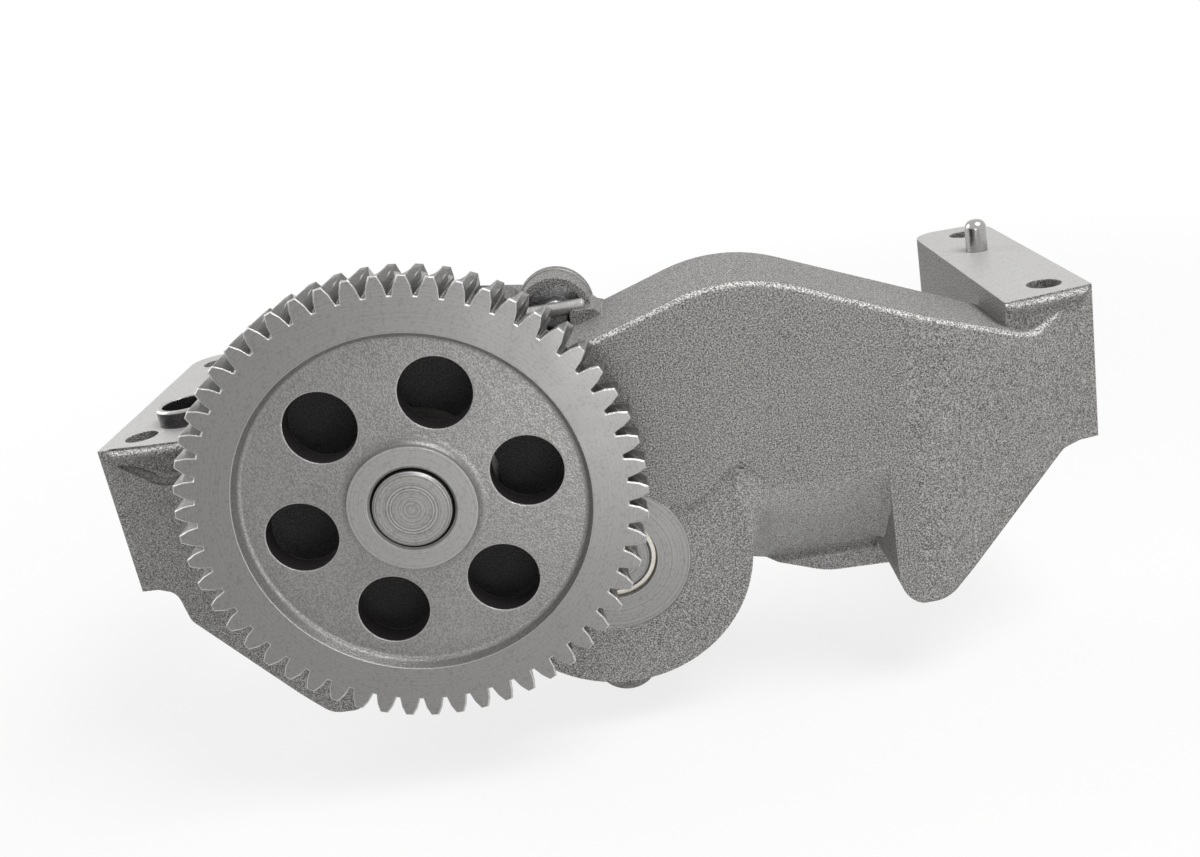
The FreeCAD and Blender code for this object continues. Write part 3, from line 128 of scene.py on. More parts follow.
def sand_grain_effect():
    """Skin of a blasted casting: coarse grains with pits between them, over broad uneven patches."""
    tree, given, out = new_effect(
        "sand_grain", {"Grain Size": ("NodeSocketFloat", 0.0012), "Patch Size": ("NodeSocketFloat", 0.03)},
        {"Grain": "NodeSocketFloat", "Pits": "NodeSocketFloat", "Patches": "NodeSocketFloat",
         "Height": "NodeSocketFloat"})
    place = add_node(tree, "ShaderNodeTexCoord").outputs["Object"]
    per_grain = math_step(tree, "DIVIDE", 1.0, given["Grain Size"])
    grain = add_node(tree, "ShaderNodeTexNoise", {"Vector": place, "Scale": per_grain, "Detail": 2.0,
                                                  "Roughness": 0.7}).outputs["Fac"]
    cells = add_node(tree, "ShaderNodeTexVoronoi", {"Vector": place, "Scale": per_grain}).outputs["Distance"]
    per_patch = math_step(tree, "DIVIDE", 1.0, given["Patch Size"])
    patches = add_node(tree, "ShaderNodeTexNoise", {"Vector": place, "Scale": per_patch, "Detail": 4.0,
                                                    "Roughness": 0.6}).outputs["Fac"]
    grains = spread(tree, grain, 0.38, 0.64)
    pits = spread(tree, cells, 0.55, 0.95)
    tree.links.new(grains, out["Grain"])
    tree.links.new(pits, out["Pits"])
    tree.links.new(spread(tree, patches, 0.3, 0.7), out["Patches"])
    tree.links.new(math_step(tree, "SUBTRACT", grains, math_step(tree, "MULTIPLY", pits, 0.6)), out["Height"])
    return tree


def tool_ring_effect():
    """Fine uneven rings that a turning or facing tool leaves round a centre."""
    tree, given, out = new_effect(
        "tool_rings", {"Centre": ("NodeSocketVector", (0, 0, 0)), "Across": ("NodeSocketVector", (1, 0, 1)),
                       "Pitch": ("NodeSocketFloat", 0.0004)},
        {"Rings": "NodeSocketFloat"})
    radius = distance_from_axis(tree, given)
    turns = math_step(tree, "DIVIDE", radius, given["Pitch"])
    rings = add_node(tree, "ShaderNodeTexNoise", {"W": turns, "Scale": 1.0, "Detail": 2.0, "Roughness": 0.7},
                     noise_dimensions="1D").outputs["Fac"]
    tree.links.new(spread(tree, rings, 0.25, 0.75), out["Rings"])
    return tree


def near_axis_effect():
    """Share is 1 near a line through Centre and fades out between Full and None; Across drops the
    direction of that line."""
    tree, given, out = new_effect(
        "near_axis", {"Centre": ("NodeSocketVector", (0, 0, 0)), "Across": ("NodeSocketVector", (1, 0, 1)),
                      "Full": ("NodeSocketFloat", 0.01), "None": ("NodeSocketFloat", 0.012)},
        {"Share": "NodeSocketFloat"})
    radius = distance_from_axis(tree, given)
    tree.links.new(spread(tree, radius, given["Full"], given["None"], 1.0, 0.0), out["Share"])
    return tree


def broken_edge_effect():
    """Softened edges: the normal turns round each edge, and Edge says how near the edge is."""
    tree, given, out = new_effect("broken_edges", {"Width": ("NodeSocketFloat", 0.0006)},
                                  {"Edge": "NodeSocketFloat", "Normal": "NodeSocketVector"})
    soft = add_node(tree, "ShaderNodeBevel", {"Radius": given["Width"]}, samples=6).outputs[0]
    face = add_node(tree, "ShaderNodeNewGeometry").outputs["Normal"]
    match = add_node(tree, "ShaderNodeVectorMath", {0: soft, 1: face}, operation="DOT_PRODUCT")
    tree.links.new(spread(tree, match.outputs["Value"], 0.995, 0.86), out["Edge"])
    tree.links.new(soft, out["Normal"])
    return tree


def rounded_edge_highlight_effect():
    """The output marks where a painted highlight goes: where the surface turns from the front up to the top,
    as on the front's cast edge.
    """
    tree, given, out = new_effect("painted_highlight_on_rounded_edges", {"Steepness": ("NodeSocketFloat", 0.3)},
                                  {"Painted Highlight": "NodeSocketFloat"})
    facing = add_node(tree, "ShaderNodeSeparateXYZ",
                      {0: add_node(tree, "ShaderNodeNewGeometry").outputs["Normal"]}).outputs
    forward = math_step(tree, "MULTIPLY", facing[1], -1.0)
    turning = math_step(tree, "MULTIPLY", spread(tree, forward, given["Steepness"], 0.6),
                        spread(tree, forward, 0.98, 0.86))
    tree.links.new(math_step(tree, "MULTIPLY", turning, spread(tree, facing[2], 0.1, 0.3)), out["Painted Highlight"])
    return tree


SAND_GRAIN = sand_grain_effect()
TOOL_RINGS = tool_ring_effect()
NEAR_AXIS = near_axis_effect()
BROKEN_EDGES = broken_edge_effect()
ROUNDED_EDGE_HIGHLIGHT = rounded_edge_highlight_effect()


def new_material(name, roughness=0.5, metallic=0.0, specular=0.5):
    """Plain material; returns it with its node tree and its surface shader."""
    material = bpy.data.materials.new(name)
    material.use_nodes = True
    tree = material.node_tree
    surface = tree.nodes["Principled BSDF"]
    surface.inputs["Roughness"].default_value = roughness
    surface.inputs["Metallic"].default_value = metallic
    surface.inputs["Specular IOR Level"].default_value = specular
    return material, tree, surface


def darker(colour, share):
    return [share * channel for channel in colour[:3]] + [1]


def cast_material(name, dark, light, edge, grain_size, depth=0.0003, shaded_round=None):
    """Sand-cast and blasted iron: speckled grey, rubbed bright along its edges with a painted highlight where
    a rounded edge faces up, and painted dark shade round an axis within the reach given as shaded_round."""
    material, tree, surface = new_material(name, metallic=0.2)
    skin = use_effect(tree, SAND_GRAIN, {"Grain Size": grain_size, "Patch Size": 0.035})
    edges = use_effect(tree, BROKEN_EDGES, {"Width": 0.0009})
    colour = blend_colours(tree, skin["Grain"], dark, light)
    colour = blend_colours(tree, math_step(tree, "MULTIPLY", skin["Pits"], 0.6), colour, darker(dark, 0.3))
    colour = blend_colours(tree, math_step(tree, "MULTIPLY", skin["Patches"], 0.12), colour, light)
    # Painted highlight: surfaces turned between the front and the top get the bright edge colour; the edge
    # mask beside it is wear on every edge.
    painted_highlight = use_effect(tree, ROUNDED_EDGE_HIGHLIGHT, {})["Painted Highlight"]
    worn = math_step(tree, "MAXIMUM", math_step(tree, "MULTIPLY", edges["Edge"], 0.45), painted_highlight)
    rub = math_step(tree, "MULTIPLY", worn, spread(tree, skin["Grain"], 0.3, 0.8, 0.1, 1.0))
    colour = blend_colours(tree, rub, colour, edge)
    # Painted shade: the skin turns near-black within the given reach of the axis.
    if shaded_round:
        axis, reach = shaded_round
        painted_shade_share = use_effect(tree, NEAR_AXIS, {"Centre": axis, "Full": reach, "None": reach + PAINTED_SHADE_FADE})["Share"]
        painted_shade_share = math_step(tree, "MULTIPLY", painted_shade_share, PAINTED_SHADE_SHARE)
        colour = blend_colours(tree, painted_shade_share, colour, PAINTED_SHADE_COLOUR)
    tree.links.new(colour, surface.inputs["Base Color"])
    tree.links.new(spread(tree, skin["Grain"], 0.0, 1.0, 0.72, 0.5), surface.inputs["Roughness"])
    bump = add_node(tree, "ShaderNodeBump", {"Strength": 0.8, "Distance": depth, "Height": skin["Height"],
                                             "Normal": edges["Normal"]})
    tree.links.new(bump.outputs[0], surface.inputs["Normal"])
    return material


def turned_material(name, dark, light, centre, across, pitch, roughness=0.34, metallic=0.7, mark=0.00002,
                    shaded_core=None):
    """Face with the fine rings of the tool round one centre, painted black as shade inside shaded_core."""
    material, tree, surface = new_material(name, metallic=metallic)
    rings = use_effect(tree, TOOL_RINGS, {"Centre": centre, "Across": across, "Pitch": pitch})["Rings"]
    skin = use_effect(tree, SAND_GRAIN, {"Grain Size": 0.0009, "Patch Size": 0.012})
    edges = use_effect(tree, BROKEN_EDGES, {"Width": 0.0004})
    colour = blend_colours(tree, rings, dark, light)
    colour = blend_colours(tree, math_step(tree, "MULTIPLY", skin["Pits"], 0.3), colour, darker(dark, 0.5))
    rub = math_step(tree, "MULTIPLY", edges["Edge"], 0.6)
    colour = blend_colours(tree, rub, colour, (0.62, 0.615, 0.605, 1))
    # Painted shade: black inside shaded_core, the gap round the shaft's end in its bore.
    if shaded_core:
        core_shade_share = use_effect(tree, NEAR_AXIS, {"Centre": centre, "Across": across, "Full": shaded_core,
                                            "None": shaded_core + 0.0002})["Share"]
        colour = blend_colours(tree, core_shade_share, colour, (0.005, 0.004, 0.005, 1))
    tree.links.new(colour, surface.inputs["Base Color"])
    worn = math_step(tree, "ADD", spread(tree, rings, 0.0, 1.0, roughness - 0.06, roughness + 0.08),
                     math_step(tree, "MULTIPLY", skin["Patches"], 0.08))
    tree.links.new(worn, surface.inputs["Roughness"])
    bump = add_node(tree, "ShaderNodeBump", {"Strength": 0.6, "Distance": mark, "Height": rings,
                                             "Normal": edges["Normal"]})
    tree.links.new(bump.outputs[0], surface.inputs["Normal"])
    return material


def piece_of(form, name, finishes, body):
    """Piece made from a finished form, which this uses up."""
    mesh = bpy.data.meshes.new(name)
    form.to_mesh(mesh)
    form.free()
    for finish in finishes:
        mesh.materials.append(finish)
    piece = bpy.data.objects.new(name, mesh)
    bpy.context.scene.collection.objects.link(piece)
    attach(piece, body)
    return piece


def finished_copy(node, name, body, finishes, choose=None):
    """Piece made from a solid of the frame: its facets merged, round faces smooth, and each face given
    the finish that choose names."""
    form = bmesh.new()
    form.from_mesh(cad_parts[node].data)
    bmesh.ops.remove_doubles(form, verts=form.verts, dist=SOLID_GAP)
    bmesh.ops.dissolve_limit(form, angle_limit=FACET_TURN, use_dissolve_boundaries=False,
                             verts=form.verts, edges=form.edges)
    for face in form.faces:
        face.smooth = True
        face.material_index = choose(face) if choose else 0
    for edge in form.edges:
        edge.smooth = len(edge.link_faces) == 2 and edge.calc_face_angle(0.0) < SHARP_TURN
    piece = piece_of(form, name, finishes, body)
    level = piece.modifiers.new("flat faces stay flat", "WEIGHTED_NORMAL")
    level.keep_sharp = True
    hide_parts(node)
    return piece


def reach_from(axis, face):
    """How far a face's nearest and farthest corners lie from an axis along Y."""
    away = [math.hypot(corner.co.x - axis.x, corner.co.z - axis.z) for corner in face.verts]
    return min(away), max(away)


FOOT_EDGE_END, SADDLE_ENDS, SADDLE_TOP, SADDLE_FRONT = -0.105, (0.046, 0.0935), -0.044, -0.0775
CAST, PAD, GEAR_SEAT, IDLER_SEAT, REAMED, JOINT, SHADED_EDGE, LIT_SADDLE_SKIN = range(8)
HOUSING_FINISHES = [
    # The housing's skin is painted near-black as shade within 58 mm of the gear's axis.
    cast_material("cast iron skin of the housing", (0.055, 0.053, 0.051, 1), (0.5, 0.491, 0.478, 1),
                  (0.9, 0.89, 0.875, 1), 0.0005, shaded_round=(GEAR_AXIS, 0.058)),
    turned_material("milled foot pad", (0.38, 0.375, 0.367, 1), (0.56, 0.555, 0.545, 1), (0.3, -0.25, 0.0),
                    (1, 1, 0), 0.0006, roughness=0.42, metallic=0.35),
    turned_material("turned seat at the gear", (0.15, 0.148, 0.145, 1), (0.32, 0.316, 0.309, 1), GEAR_AXIS,
                    (1, 0, 1), 0.00035),
    turned_material("turned seat at the idler", (0.15, 0.148, 0.145, 1), (0.32, 0.316, 0.309, 1), IDLER_AXIS,
                    (1, 0, 1), 0.00035),
    turned_material("reamed bore", (0.26, 0.257, 0.25, 1), (0.46, 0.455, 0.445, 1), (0, 0, 0), (0, 1, 0),
                    0.0003, roughness=0.3),
    turned_material("milled joint face", (0.4, 0.395, 0.385, 1), (0.58, 0.575, 0.565, 1), (-0.4, 0, 0.3),
                    (1, 0, 1), 0.0006, roughness=0.4, metallic=0.4),
    # Painted shade: near-black skin on the left foot's round edge, where the crease lies in shade.
    cast_material("painted shade on the round edge of the left foot", (0.03, 0.029, 0.028, 1), (0.16, 0.157, 0.153, 1),
                  (0.2, 0.197, 0.19, 1), 0.0005),
    # Painted light: the saddle's skin is made lighter than the housing's to stand in for light on its
    # downward-facing face.
    cast_material("cast skin of the saddle painted lighter as if lit", (0.1, 0.098, 0.095, 1), (0.62, 0.61, 0.595, 1),
                  (0.9, 0.89, 0.875, 1), 0.00046),
]


def housing_finish(face):
    middle, normal = face.calc_center_median(), face.normal
    rounding = normal.y < -0.2 and 0.08 < normal.z < 0.97
    # The left foot's round edge takes the painted shade.
    if middle.x < FOOT_EDGE_END and -0.03 < middle.z < -0.004 and rounding:
        return SHADED_EDGE
    in_saddle = SADDLE_ENDS[0] < middle.x < SADDLE_ENDS[1] and middle.z < SADDLE_TOP
    # The saddle's faces take the skin painted lighter as if lit.
    if in_saddle and middle.y > SADDLE_FRONT and normal.y < -0.3:
        return LIT_SADDLE_SKIN
    if abs(middle.z) < 0.0004 and normal.z > 0.9:
        return PAD
    by_gear, by_idler = reach_from(GEAR_AXIS, face)[1], reach_from(IDLER_AXIS, face)[1]
    if min(by_gear, by_idler) < BORE_RADIUS and abs(normal.y) < 0.5:
        return REAMED
    if by_gear < SPOT_RADIUS and middle.y < JOINT_LEVEL:
        return GEAR_SEAT
    if by_idler < SPOT_RADIUS and middle.y < JOINT_LEVEL:
        return IDLER_SEAT
    if normal.y > SQUARE_ON and abs(middle.y - JOINT_LEVEL) < LEVEL_GAP:
        return JOINT
    return CAST


finished_copy("pump_housing", "housing_casting", "casing", HOUSING_FINISHES, housing_finish)

# Cast ledges below the front edge of both foot pads: rounded ribs that belong to the same iron casting,
# left standing where the pad was milled, with the cast skin's painted highlight on top.
LEDGE_SIDE = [(0.0, -0.0006), (-0.0012, -0.0010), (-0.0019, -0.0020), (-0.0019, -0.0030), (-0.0010, -0.0040),
              (0.0, -0.0044)]
LEDGE_SWELL = [(0.0, 0.15), (0.05, 0.8), (0.12, 1.0), (0.5, 1.05), (0.88, 1.0), (0.95, 0.8), (1.0, 0.15)]


def foot_ledge(name, start, end):
    """Rib between two points of the pad's front edge, sunk to nothing at both ends."""
    form = bmesh.new()
    along = Vector(end) - Vector(start)
    outward = Vector((along.y, -along.x, 0)).normalized()
    rows = []
    for share, size in LEDGE_SWELL:
        foot = Vector(start) + along * share
        rows.append([form.verts.new(foot - outward * side * size + Vector((0, 0, drop * (0.6 + 0.4 * size))))
                     for side, drop in LEDGE_SIDE])
    for row, following in zip(rows, rows[1:]):
        for k in range(len(LEDGE_SIDE) - 1):
            form.faces.new((row[k], row[k + 1], following[k + 1], following[k]))
    bmesh.ops.recalc_face_normals(form, faces=form.faces)
    for face in form.faces:
        face.smooth = True
    piece_of(form, name, [HOUSING_FINISHES[CAST]], "casing")


foot_ledge("right_foot_ledge", (0.1397, -0.0619, 0.0), (0.1686, -0.0567, 0.0))
foot_ledge("left_foot_ledge", (-0.1665, -0.0569, 0.0), (-0.1345, -0.0609, 0.0))

# Saddle between the two hanging lobes: the cast face rolls back under the plate's edge, and runs out
# in a soft fillet against the lobes on both sides, above the thin lip.
SADDLE_LEFT, SADDLE_RIGHT, LOBE_EDGE, LOBE_RUN_OUT = 0.0415, 0.0938, 0.0445, 0.0115
PLATE_FACE, LOBE_FACE, FILLET = -0.078, -0.076, 0.011
SADDLE_FOOT, FOOT_DROP, FOOT_RUN = -0.0815, 0.0048, 0.0145
LOBE_FADE_TOP, LOBE_FADE, FILLET_FADE_TOP, FILLET_FADE = -0.060, 0.018, -0.078, 0.009
SADDLE_FALL = [(-0.037, -0.0779), (-0.0435, -0.0779), (-0.046, -0.077), (-0.049, -0.0751), (-0.053, -0.0719),
               (-0.058, -0.0672), (-0.064, -0.0614), (-0.072, -0.0536), (-0.080, -0.0461), (-0.088, -0.0391)]


def eased(value):
    value = min(max(value, 0.0), 1.0)
    return value * value * (3 - 2 * value)


def saddle_depth(x, z):
    """Y of the saddle's face: its fall, less the swell towards the left lobe and the fillet on the right."""
    for (above, front), (below, back) in zip(SADDLE_FALL, SADDLE_FALL[1:]):
        if below <= z <= above:
            depth = front + (back - front) * (above - z) / (above - below)
    run = eased((x - LOBE_EDGE) / LOBE_RUN_OUT)
    left = (depth - LOBE_FACE) * (1 - run) * (1 - eased((LOBE_FADE_TOP - z) / LOBE_FADE))
    radius = min(FILLET, 0.9 * (depth - PLATE_FACE)) * (1 - eased((FILLET_FADE_TOP - z) / FILLET_FADE))
    inside = min(max((x - SADDLE_RIGHT + 0.001 + radius) / max(radius, 1e-6), 0.0), 1.0)
    return depth - left - radius * (1 - math.sqrt(1 - inside * inside))


def cast_saddle(name, columns=40, rows=40):
    """Sheet of the saddle's face, laid over the casting and sunk in the lobes at both sides."""
    form = bmesh.new()
    net = []
    for j in range(rows + 1):
        net.append([])
        for i in range(columns + 1):
            x = SADDLE_LEFT + (SADDLE_RIGHT - SADDLE_LEFT) * i / columns
            foot = SADDLE_FOOT - FOOT_DROP * eased((x - SADDLE_LEFT) / FOOT_RUN)
            z = SADDLE_FALL[0][0] + (foot - SADDLE_FALL[0][0]) * j / rows
            net[-1].append(form.verts.new((x, saddle_depth(x, z), z)))
    for row, following in zip(net, net[1:]):
        for i in range(columns):
            form.faces.new((row[i], following[i], following[i + 1], row[i + 1])).smooth = True
    # The saddle's sheet takes the skin painted lighter as if lit.
    piece_of(form, name, [HOUSING_FINISHES[LIT_SADDLE_SKIN]], "casing")


cast_saddle("housing_saddle")

# Pump cover: a second, darker casting that closes the rotor chambers from the rear and carries the
# suction port. Its rear faces are turned round the two bearing bosses and the suction flange.
COVER_FINISHES = [
    cast_material("cast iron skin of the cover", (0.1, 0.097, 0.094, 1), (0.36, 0.354, 0.344, 1),
                  (0.7, 0.69, 0.675, 1), 0.00062),
    turned_material("machined face of the cover", (0.3, 0.297, 0.29, 1), (0.5, 0.495, 0.485, 1),
                    (-0.036, 0, -0.074), (1, 0, 1), 0.0004),
]
COVER_BACK = -0.0055


def cover_finish(face):
    depth, turn = face.calc_center_median().y, face.normal.y
    away = min(reach_from(GEAR_AXIS, face)[1], reach_from(IDLER_AXIS, face)[1])
    bored = abs(turn) < 0.3 and away < BORE_RADIUS
    rear = turn > SQUARE_ON and depth > COVER_BACK
    joint = turn < -SQUARE_ON and abs(depth - JOINT_LEVEL) < LEVEL_GAP
    return 1 if rear or bored or joint else 0


finished_copy("pump_cover", "cover_casting", "casing", COVER_FINISHES, cover_finish)

# Drive gear: forged and turned steel blank with 55 helical teeth, hobbed, blasted all over and then
# deburred along the tooth edges. It is pressed on the drive shaft, and its hub flares into the web.
ROOT_RADIUS, TIP_RADIUS = 0.0677, 0.0739
RECESS_RADIUS, HUB_RADIUS = 0.0562, 0.0205
HUB_FOOT, HUB_FOOT_GROWTH = 0.0238, 1.45
TOOTH_FOOT, TOOTH_TOP = ROOT_RADIUS - 0.0008, TIP_RADIUS - 0.0004
HOLES_FROM, HOLES_TO = HUB_RADIUS + 0.004, RECESS_RADIUS - 0.003


def steel_material(name, dark, light, edge, grain_size, metallic, roughness):
    """Steel with a fine even grey skin, brighter along its edges."""
    material, tree, surface = new_material(name, metallic=metallic)
    skin = use_effect(tree, SAND_GRAIN, {"Grain Size": grain_size, "Patch Size": 0.02})
    edges = use_effect(tree, BROKEN_EDGES, {"Width": 0.0008})
    colour = blend_colours(tree, skin["Grain"], dark, light)
    colour = blend_colours(tree, math_step(tree, "MULTIPLY", skin["Patches"], 0.3), colour, light)
    colour = blend_colours(tree, math_step(tree, "MULTIPLY", edges["Edge"], 0.75), colour, edge)
    tree.links.new(colour, surface.inputs["Base Color"])
    tree.links.new(spread(tree, skin["Grain"], 0.0, 1.0, roughness + 0.08, roughness - 0.06),
                   surface.inputs["Roughness"])
    bump = add_node(tree, "ShaderNodeBump", {"Strength": 0.5, "Distance": 0.00008, "Height": skin["Height"],
                                             "Normal": edges["Normal"]})
    tree.links.new(bump.outputs[0], surface.inputs["Normal"])
    return material


BLASTED, FLANK, TOP_LAND, TOOTH_EDGE, GROUND_RIM, TURNED_HUB, SHADED_HOLE_WALL = range(7)
GEAR_FINISHES = [
    steel_material("blasted gear web", (0.14, 0.137, 0.133, 1), (0.26, 0.255, 0.249, 1),
                   (0.55, 0.545, 0.535, 1), 0.0006, 0.55, 0.36),
    steel_material("hobbed tooth flank", (0.09, 0.088, 0.086, 1), (0.17, 0.167, 0.163, 1),
                   (0.36, 0.355, 0.35, 1), 0.0005, 0.8, 0.36),
    steel_material("tooth top land", (0.16, 0.157, 0.154, 1), (0.28, 0.276, 0.27, 1),
                   (0.5, 0.495, 0.485, 1), 0.0005, 0.7, 0.36),
    steel_material("deburred tooth edge", (0.34, 0.336, 0.33, 1), (0.56, 0.555, 0.545, 1),
                   (0.72, 0.715, 0.705, 1), 0.0004, 0.8, 0.28),
    turned_material("ground gear rim", (0.18, 0.177, 0.173, 1), (0.25, 0.246, 0.24, 1), GEAR_AXIS,
                    (1, 0, 1), 0.0003, roughness=0.36, metallic=0.6, mark=0.000006),
    turned_material("turned face of the hub", (0.2, 0.197, 0.192, 1), (0.32, 0.315, 0.307, 1), GEAR_AXIS,
                    (1, 0, 1), 0.00035, roughness=0.38, metallic=0.5, mark=0.00001, shaded_core=0.0133),
    # Painted shade: the walls of the six holes are painted near-black.
    steel_material("hole wall painted in shade", (0.012, 0.01, 0.011, 1), (0.03, 0.026, 0.028, 1),
                   (0.4, 0.395, 0.385, 1), 0.0006, 0.3, 0.5),
]


def gear_finish(face):
    nearest, farthest = reach_from(GEAR_AXIS, face)
    turn = abs(face.normal.y)
    if nearest > TOOTH_FOOT:
        if 0.2 < turn < SQUARE_ON:
            return TOOTH_EDGE
        if turn > SQUARE_ON:
            return GROUND_RIM
        return TOP_LAND if nearest > TOOTH_TOP else FLANK
    if farthest > TOOTH_FOOT or nearest > RECESS_RADIUS:
        return GROUND_RIM
    # The walls of the six holes take the painted shade.
    if turn < 0.3 and nearest > HOLES_FROM and farthest < HOLES_TO:
        return SHADED_HOLE_WALL
    return TURNED_HUB if farthest < HUB_RADIUS + 0.0003 else BLASTED


gear = finished_copy("drive_gear", "helical_drive_gear", "drive_train", GEAR_FINISHES,
                     gear_finish)
for corner in gear.data.vertices:
    away = Vector((corner.co.x - GEAR_AXIS.x, 0, corner.co.z - GEAR_AXIS.z))
    if HUB_RADIUS + 0.0001 < away.length < HUB_FOOT:
        corner.co += away.normalized() * (away.length - HUB_RADIUS) * (HUB_FOOT_GROWTH - 1)

# Drive shaft and idler shaft: ground steel bars with turned and chamfered ends. The drive shaft's end
# stands inside the gear's hub, and the idler's end shows in its bore.
SHAFT_FINISHES = {
    axis_name: [
        turned_material("turned end of the %s shaft" % axis_name, (0.1, 0.098, 0.095, 1),
                        (0.36, 0.353, 0.344, 1), axis, (1, 0, 1), 0.0005, roughness=0.34, metallic=0.6,
                        mark=0.00004),
        turned_material("ground bar of the %s shaft" % axis_name, (0.42, 0.42, 0.415, 1),
                        (0.56, 0.56, 0.555, 1), (0, 0, 0), (0, 1, 0), 0.0003, roughness=0.22,
                        metallic=0.9)]
    for axis_name, axis in (("drive", GEAR_AXIS), ("idler", IDLER_AXIS))}


def shaft_finish(face):
    return 0 if abs(face.normal.y) > 0.3 else 1


finished_copy("drive_shaft", "drive_shaft_bar", "drive_train", SHAFT_FINISHES["drive"],
              shaft_finish)
finished_copy("idler_shaft", "idler_shaft_bar", "idler_train", SHAFT_FINISHES["idler"],
              shaft_finish)

# Rotors and key: spur rotors of case-hardened steel that mesh inside the chambers, ground on their faces.
# The driving rotor is keyed on the drive shaft and the driven rotor is pressed on the idler shaft.
ROTOR_STEEL = steel_material("ground rotor steel", (0.34, 0.34, 0.345, 1), (0.48, 0.48, 0.485, 1),
                             (0.7, 0.7, 0.7, 1), 0.0008, 0.85, 0.3)
finished_copy("driving_rotor", "driving_rotor_wheel", "drive_train", [ROTOR_STEEL])
finished_copy("driven_rotor", "driven_rotor_wheel", "idler_train", [ROTOR_STEEL])
finished_copy("rotor_key", "rotor_key_bar", "drive_train", [ROTOR_STEEL])

# Bearing bushes: four thin turned sleeves of bearing metal, one for each end of both shafts, pressed in
# the housing and in the cover. Only the front sleeve of the idler shows, as a bright ring.
BUSH_METAL = turned_material("bearing metal", (0.46, 0.43, 0.38, 1), (0.66, 0.63, 0.57, 1), (0, 0, 0),
                             (0, 1, 0), 0.0004, roughness=0.32, metallic=0.8)
for place in ("drive_front", "drive_rear", "idler_front", "idler_rear"):
    finished_copy("bush_%s" % place, "bearing_sleeve_%s" % place, "casing", [BUSH_METAL])

# Thrust washer: hardened and ground steel ring that lies loose between the gear's hub and the housing,
# and takes the push of the helical teeth.
WASHER_STEEL = turned_material("ground washer steel", (0.4, 0.4, 0.395, 1), (0.56, 0.56, 0.555, 1), GEAR_AXIS,
                               (1, 0, 1), 0.0005, roughness=0.26, metallic=0.9)
finished_copy("thrust_washer", "thrust_washer_ring", "casing", [WASHER_STEEL])

# Bore plugs: two zinc-plated cups pressed from sheet steel, driven in to close the rear bearing bores of
# the cover.
PLUG_STEEL = steel_material("zinc-plated plug", (0.42, 0.42, 0.39, 1), (0.56, 0.56, 0.52, 1),
                            (0.7, 0.7, 0.68, 1), 0.0012, 0.8, 0.3)
finished_copy("bore_plugs", "bore_closing_cups", "casing", [PLUG_STEEL])

# Cover bolts and dowels: eight flanged hexagon bolts with a dark phosphate coat, and two hollow dowels
# that place the cover on the housing.
BOLT_COAT = steel_material("phosphated bolt", (0.1, 0.1, 0.104, 1), (0.2, 0.2, 0.205, 1),
                           (0.4, 0.4, 0.4, 1), 0.0007, 0.55, 0.45)
PIN_STEEL = turned_material("ground pin steel", (0.36, 0.357, 0.35, 1), (0.42, 0.416, 0.409, 1), (0, 0, 0),
                            (0, 0, 1), 0.0003, roughness=0.16, metallic=1.0, mark=0.0000005)
finished_copy("cover_bolts", "flanged_cover_bolts", "casing", [BOLT_COAT])
finished_copy("cover_dowels", "hollow_cover_dowels", "casing", [PIN_STEEL])

# Foot dowel and outlet sleeve: a ground pin with a domed end on the right pad, and a thin turned tube
# on the left pad, both pressed in.
finished_copy("foot_dowel", "foot_dowel_pin", "casing", [PIN_STEEL])
# Painted shade: the sleeve's side walls and bore are painted near-black, and its top lip keeps the bright pin
# steel.
SHADED_SLEEVE_WALL = steel_material("sleeve walls painted in shade", (0.02, 0.018, 0.019, 1), (0.07, 0.066, 0.066, 1),
                             (0.5, 0.495, 0.485, 1), 0.0006, 0.7, 0.3)
finished_copy("outlet_sleeve", "outlet_sleeve_tube", "casing", [PIN_STEEL, SHADED_SLEEVE_WALL],
              lambda face: 1 if abs(face.normal.z) < 0.5 else 0)

# Relief valve: hardened plunger, coiled spring and cap in the bored lug, all held by one cross pin. In the
# valve the plunger lifts towards the cap and shortens the spring, whose far end stays on the cap; here the
# plunger rides on a body of its own and the spring has a mesh of its own.
SPRING_WIRE = steel_material("oiled spring wire", (0.16, 0.16, 0.165, 1), (0.3, 0.3, 0.305, 1),
                             (0.4, 0.4, 0.4, 1), 0.0008, 0.7, 0.32)
CROSS_PIN = turned_material("polished cross pin", (0.42, 0.415, 0.41, 1), (0.46, 0.455, 0.45, 1), (0, 0, 0),
                            (1, 0, 0), 0.0012, roughness=0.2, metallic=0.6, mark=0.000001)
finished_copy("relief_plunger", "relief_plunger_piston", "relief_piston", [ROTOR_STEEL])
spring = finished_copy("relief_spring", "relief_spring_coil", "casing", [SPRING_WIRE])
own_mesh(spring)
finished_copy("relief_cap", "relief_spring_cap", "casing", [ROTOR_STEEL])
finished_copy("relief_pin", "relief_cross_pin", "casing", [CROSS_PIN])

# Studio: pale floor under the pump, white surroundings, one strong soft lamp above and two weaker ones.
# The white is only what the camera, metal and glass see: the lamps and a dim sky light the pump.
FLOOR_HALF, FLOOR_GAP = 4.0, 0.0002
SKY_LIGHT = 0.2
SHADOW_REACH, WHITE_REACH = 0.3, 0.75
floor_form = bmesh.new()
bmesh.ops.create_grid(floor_form, x_segments=1, y_segments=1, size=FLOOR_HALF)
bmesh.ops.translate(floor_form, verts=floor_form.verts, vec=(0, 0, cad_box[0][2] - FLOOR_GAP))
floor_mesh = bpy.data.meshes.new("studio_floor")
floor_form.to_mesh(floor_mesh)
floor_form.free()
floor = bpy.data.objects.new("studio_floor", floor_mesh)
bpy.context.scene.collection.objects.link(floor)


def rays_that_see_white(tree):
    path = add_node(tree, "ShaderNodeLightPath").outputs
    seen = math_step(tree, "MAXIMUM", path["Is Camera Ray"], path["Is Glossy Ray"])
    return math_step(tree, "MAXIMUM", seen, path["Is Transmission Ray"])


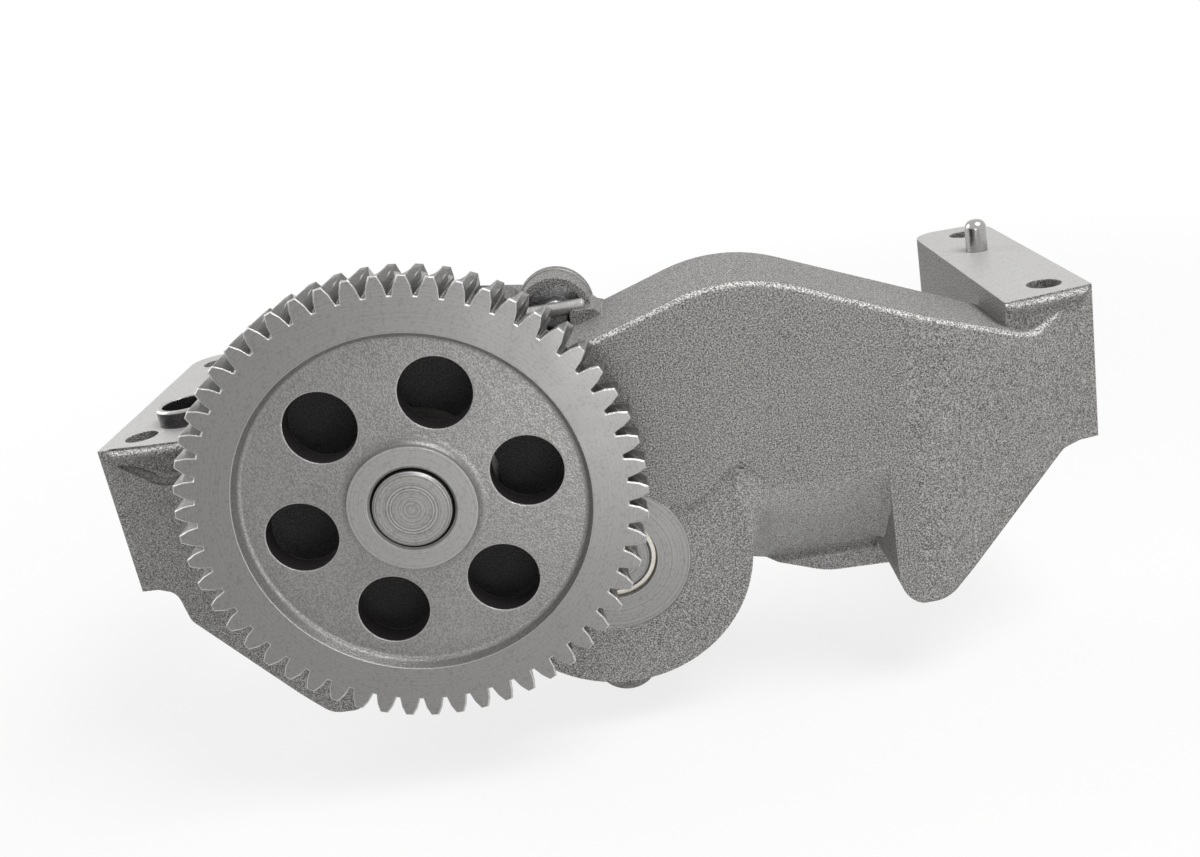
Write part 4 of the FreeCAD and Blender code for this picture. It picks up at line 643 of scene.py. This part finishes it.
floor_paint, paint_tree, paint = new_material("pale floor", roughness=0.9, specular=0.1)
paint.inputs["Base Color"].default_value = (0.86, 0.86, 0.86, 1)
where = add_node(paint_tree, "ShaderNodeTexCoord").outputs["Object"]
reach = add_node(paint_tree, "ShaderNodeVectorMath", {0: where}, operation="LENGTH").outputs["Value"]
white = add_node(paint_tree, "ShaderNodeEmission", {"Color": (1, 1, 1, 1), "Strength": 1.0}).outputs[0]
paleness = spread(paint_tree, reach, SHADOW_REACH, WHITE_REACH, 0.8, 1.0)
share = math_step(paint_tree, "MULTIPLY", rays_that_see_white(paint_tree), paleness)
mixed = add_node(paint_tree, "ShaderNodeMixShader", {0: share, 1: paint.outputs[0], 2: white}).outputs[0]
paint_tree.links.new(mixed, paint_tree.nodes["Material Output"].inputs["Surface"])
floor_mesh.materials.append(floor_paint)

world = bpy.data.worlds.new("white surroundings")
world.use_nodes = True
bpy.context.scene.world = world
sky_tree = world.node_tree
backdrop = sky_tree.nodes["Background"]
backdrop.inputs["Color"].default_value = (1, 1, 1, 1)
sky_strength = spread(sky_tree, rays_that_see_white(sky_tree), 0.0, 1.0, SKY_LIGHT, 1.0)
sky_tree.links.new(sky_strength, backdrop.inputs["Strength"])


def soft_lamp(name, place, aim, size, power):
    lamp = bpy.data.lights.new(name, "AREA")
    lamp.shape = "SQUARE"
    lamp.size = size
    lamp.energy = power
    holder = bpy.data.objects.new(name, lamp)
    holder.location = place
    holder.rotation_euler = (Vector(aim) - Vector(place)).to_track_quat("-Z", "Y").to_euler()
    bpy.context.scene.collection.objects.link(holder)


soft_lamp("lamp above on the right", (0.5, -0.35, 0.95), (0, 0, -0.05), 0.6, 11.5)
soft_lamp("low lamp in front", (0.05, -0.43, -0.1), (0, 0, -0.07), 0.2, 0.75)
soft_lamp("lamp at the left rear", (-0.9, 0.45, 0.5), (0, 0, -0.05), 0.8, 6.0)

camera_data = bpy.data.cameras.new("photo view")
camera_data.lens = 37.1
camera_data.sensor_width = 36.0
camera_data.sensor_fit = "HORIZONTAL"
camera_data.clip_start = 0.01
camera = bpy.data.objects.new("photo view", camera_data)
camera.location = (0.0209, -0.4569, 0.1147)
camera.rotation_euler = Euler([math.radians(turn) for turn in (70.92, 9.823, -0.581)])
bpy.context.scene.collection.objects.link(camera)
bpy.context.scene.camera = camera
bpy.context.scene.view_settings.view_transform = "Standard"
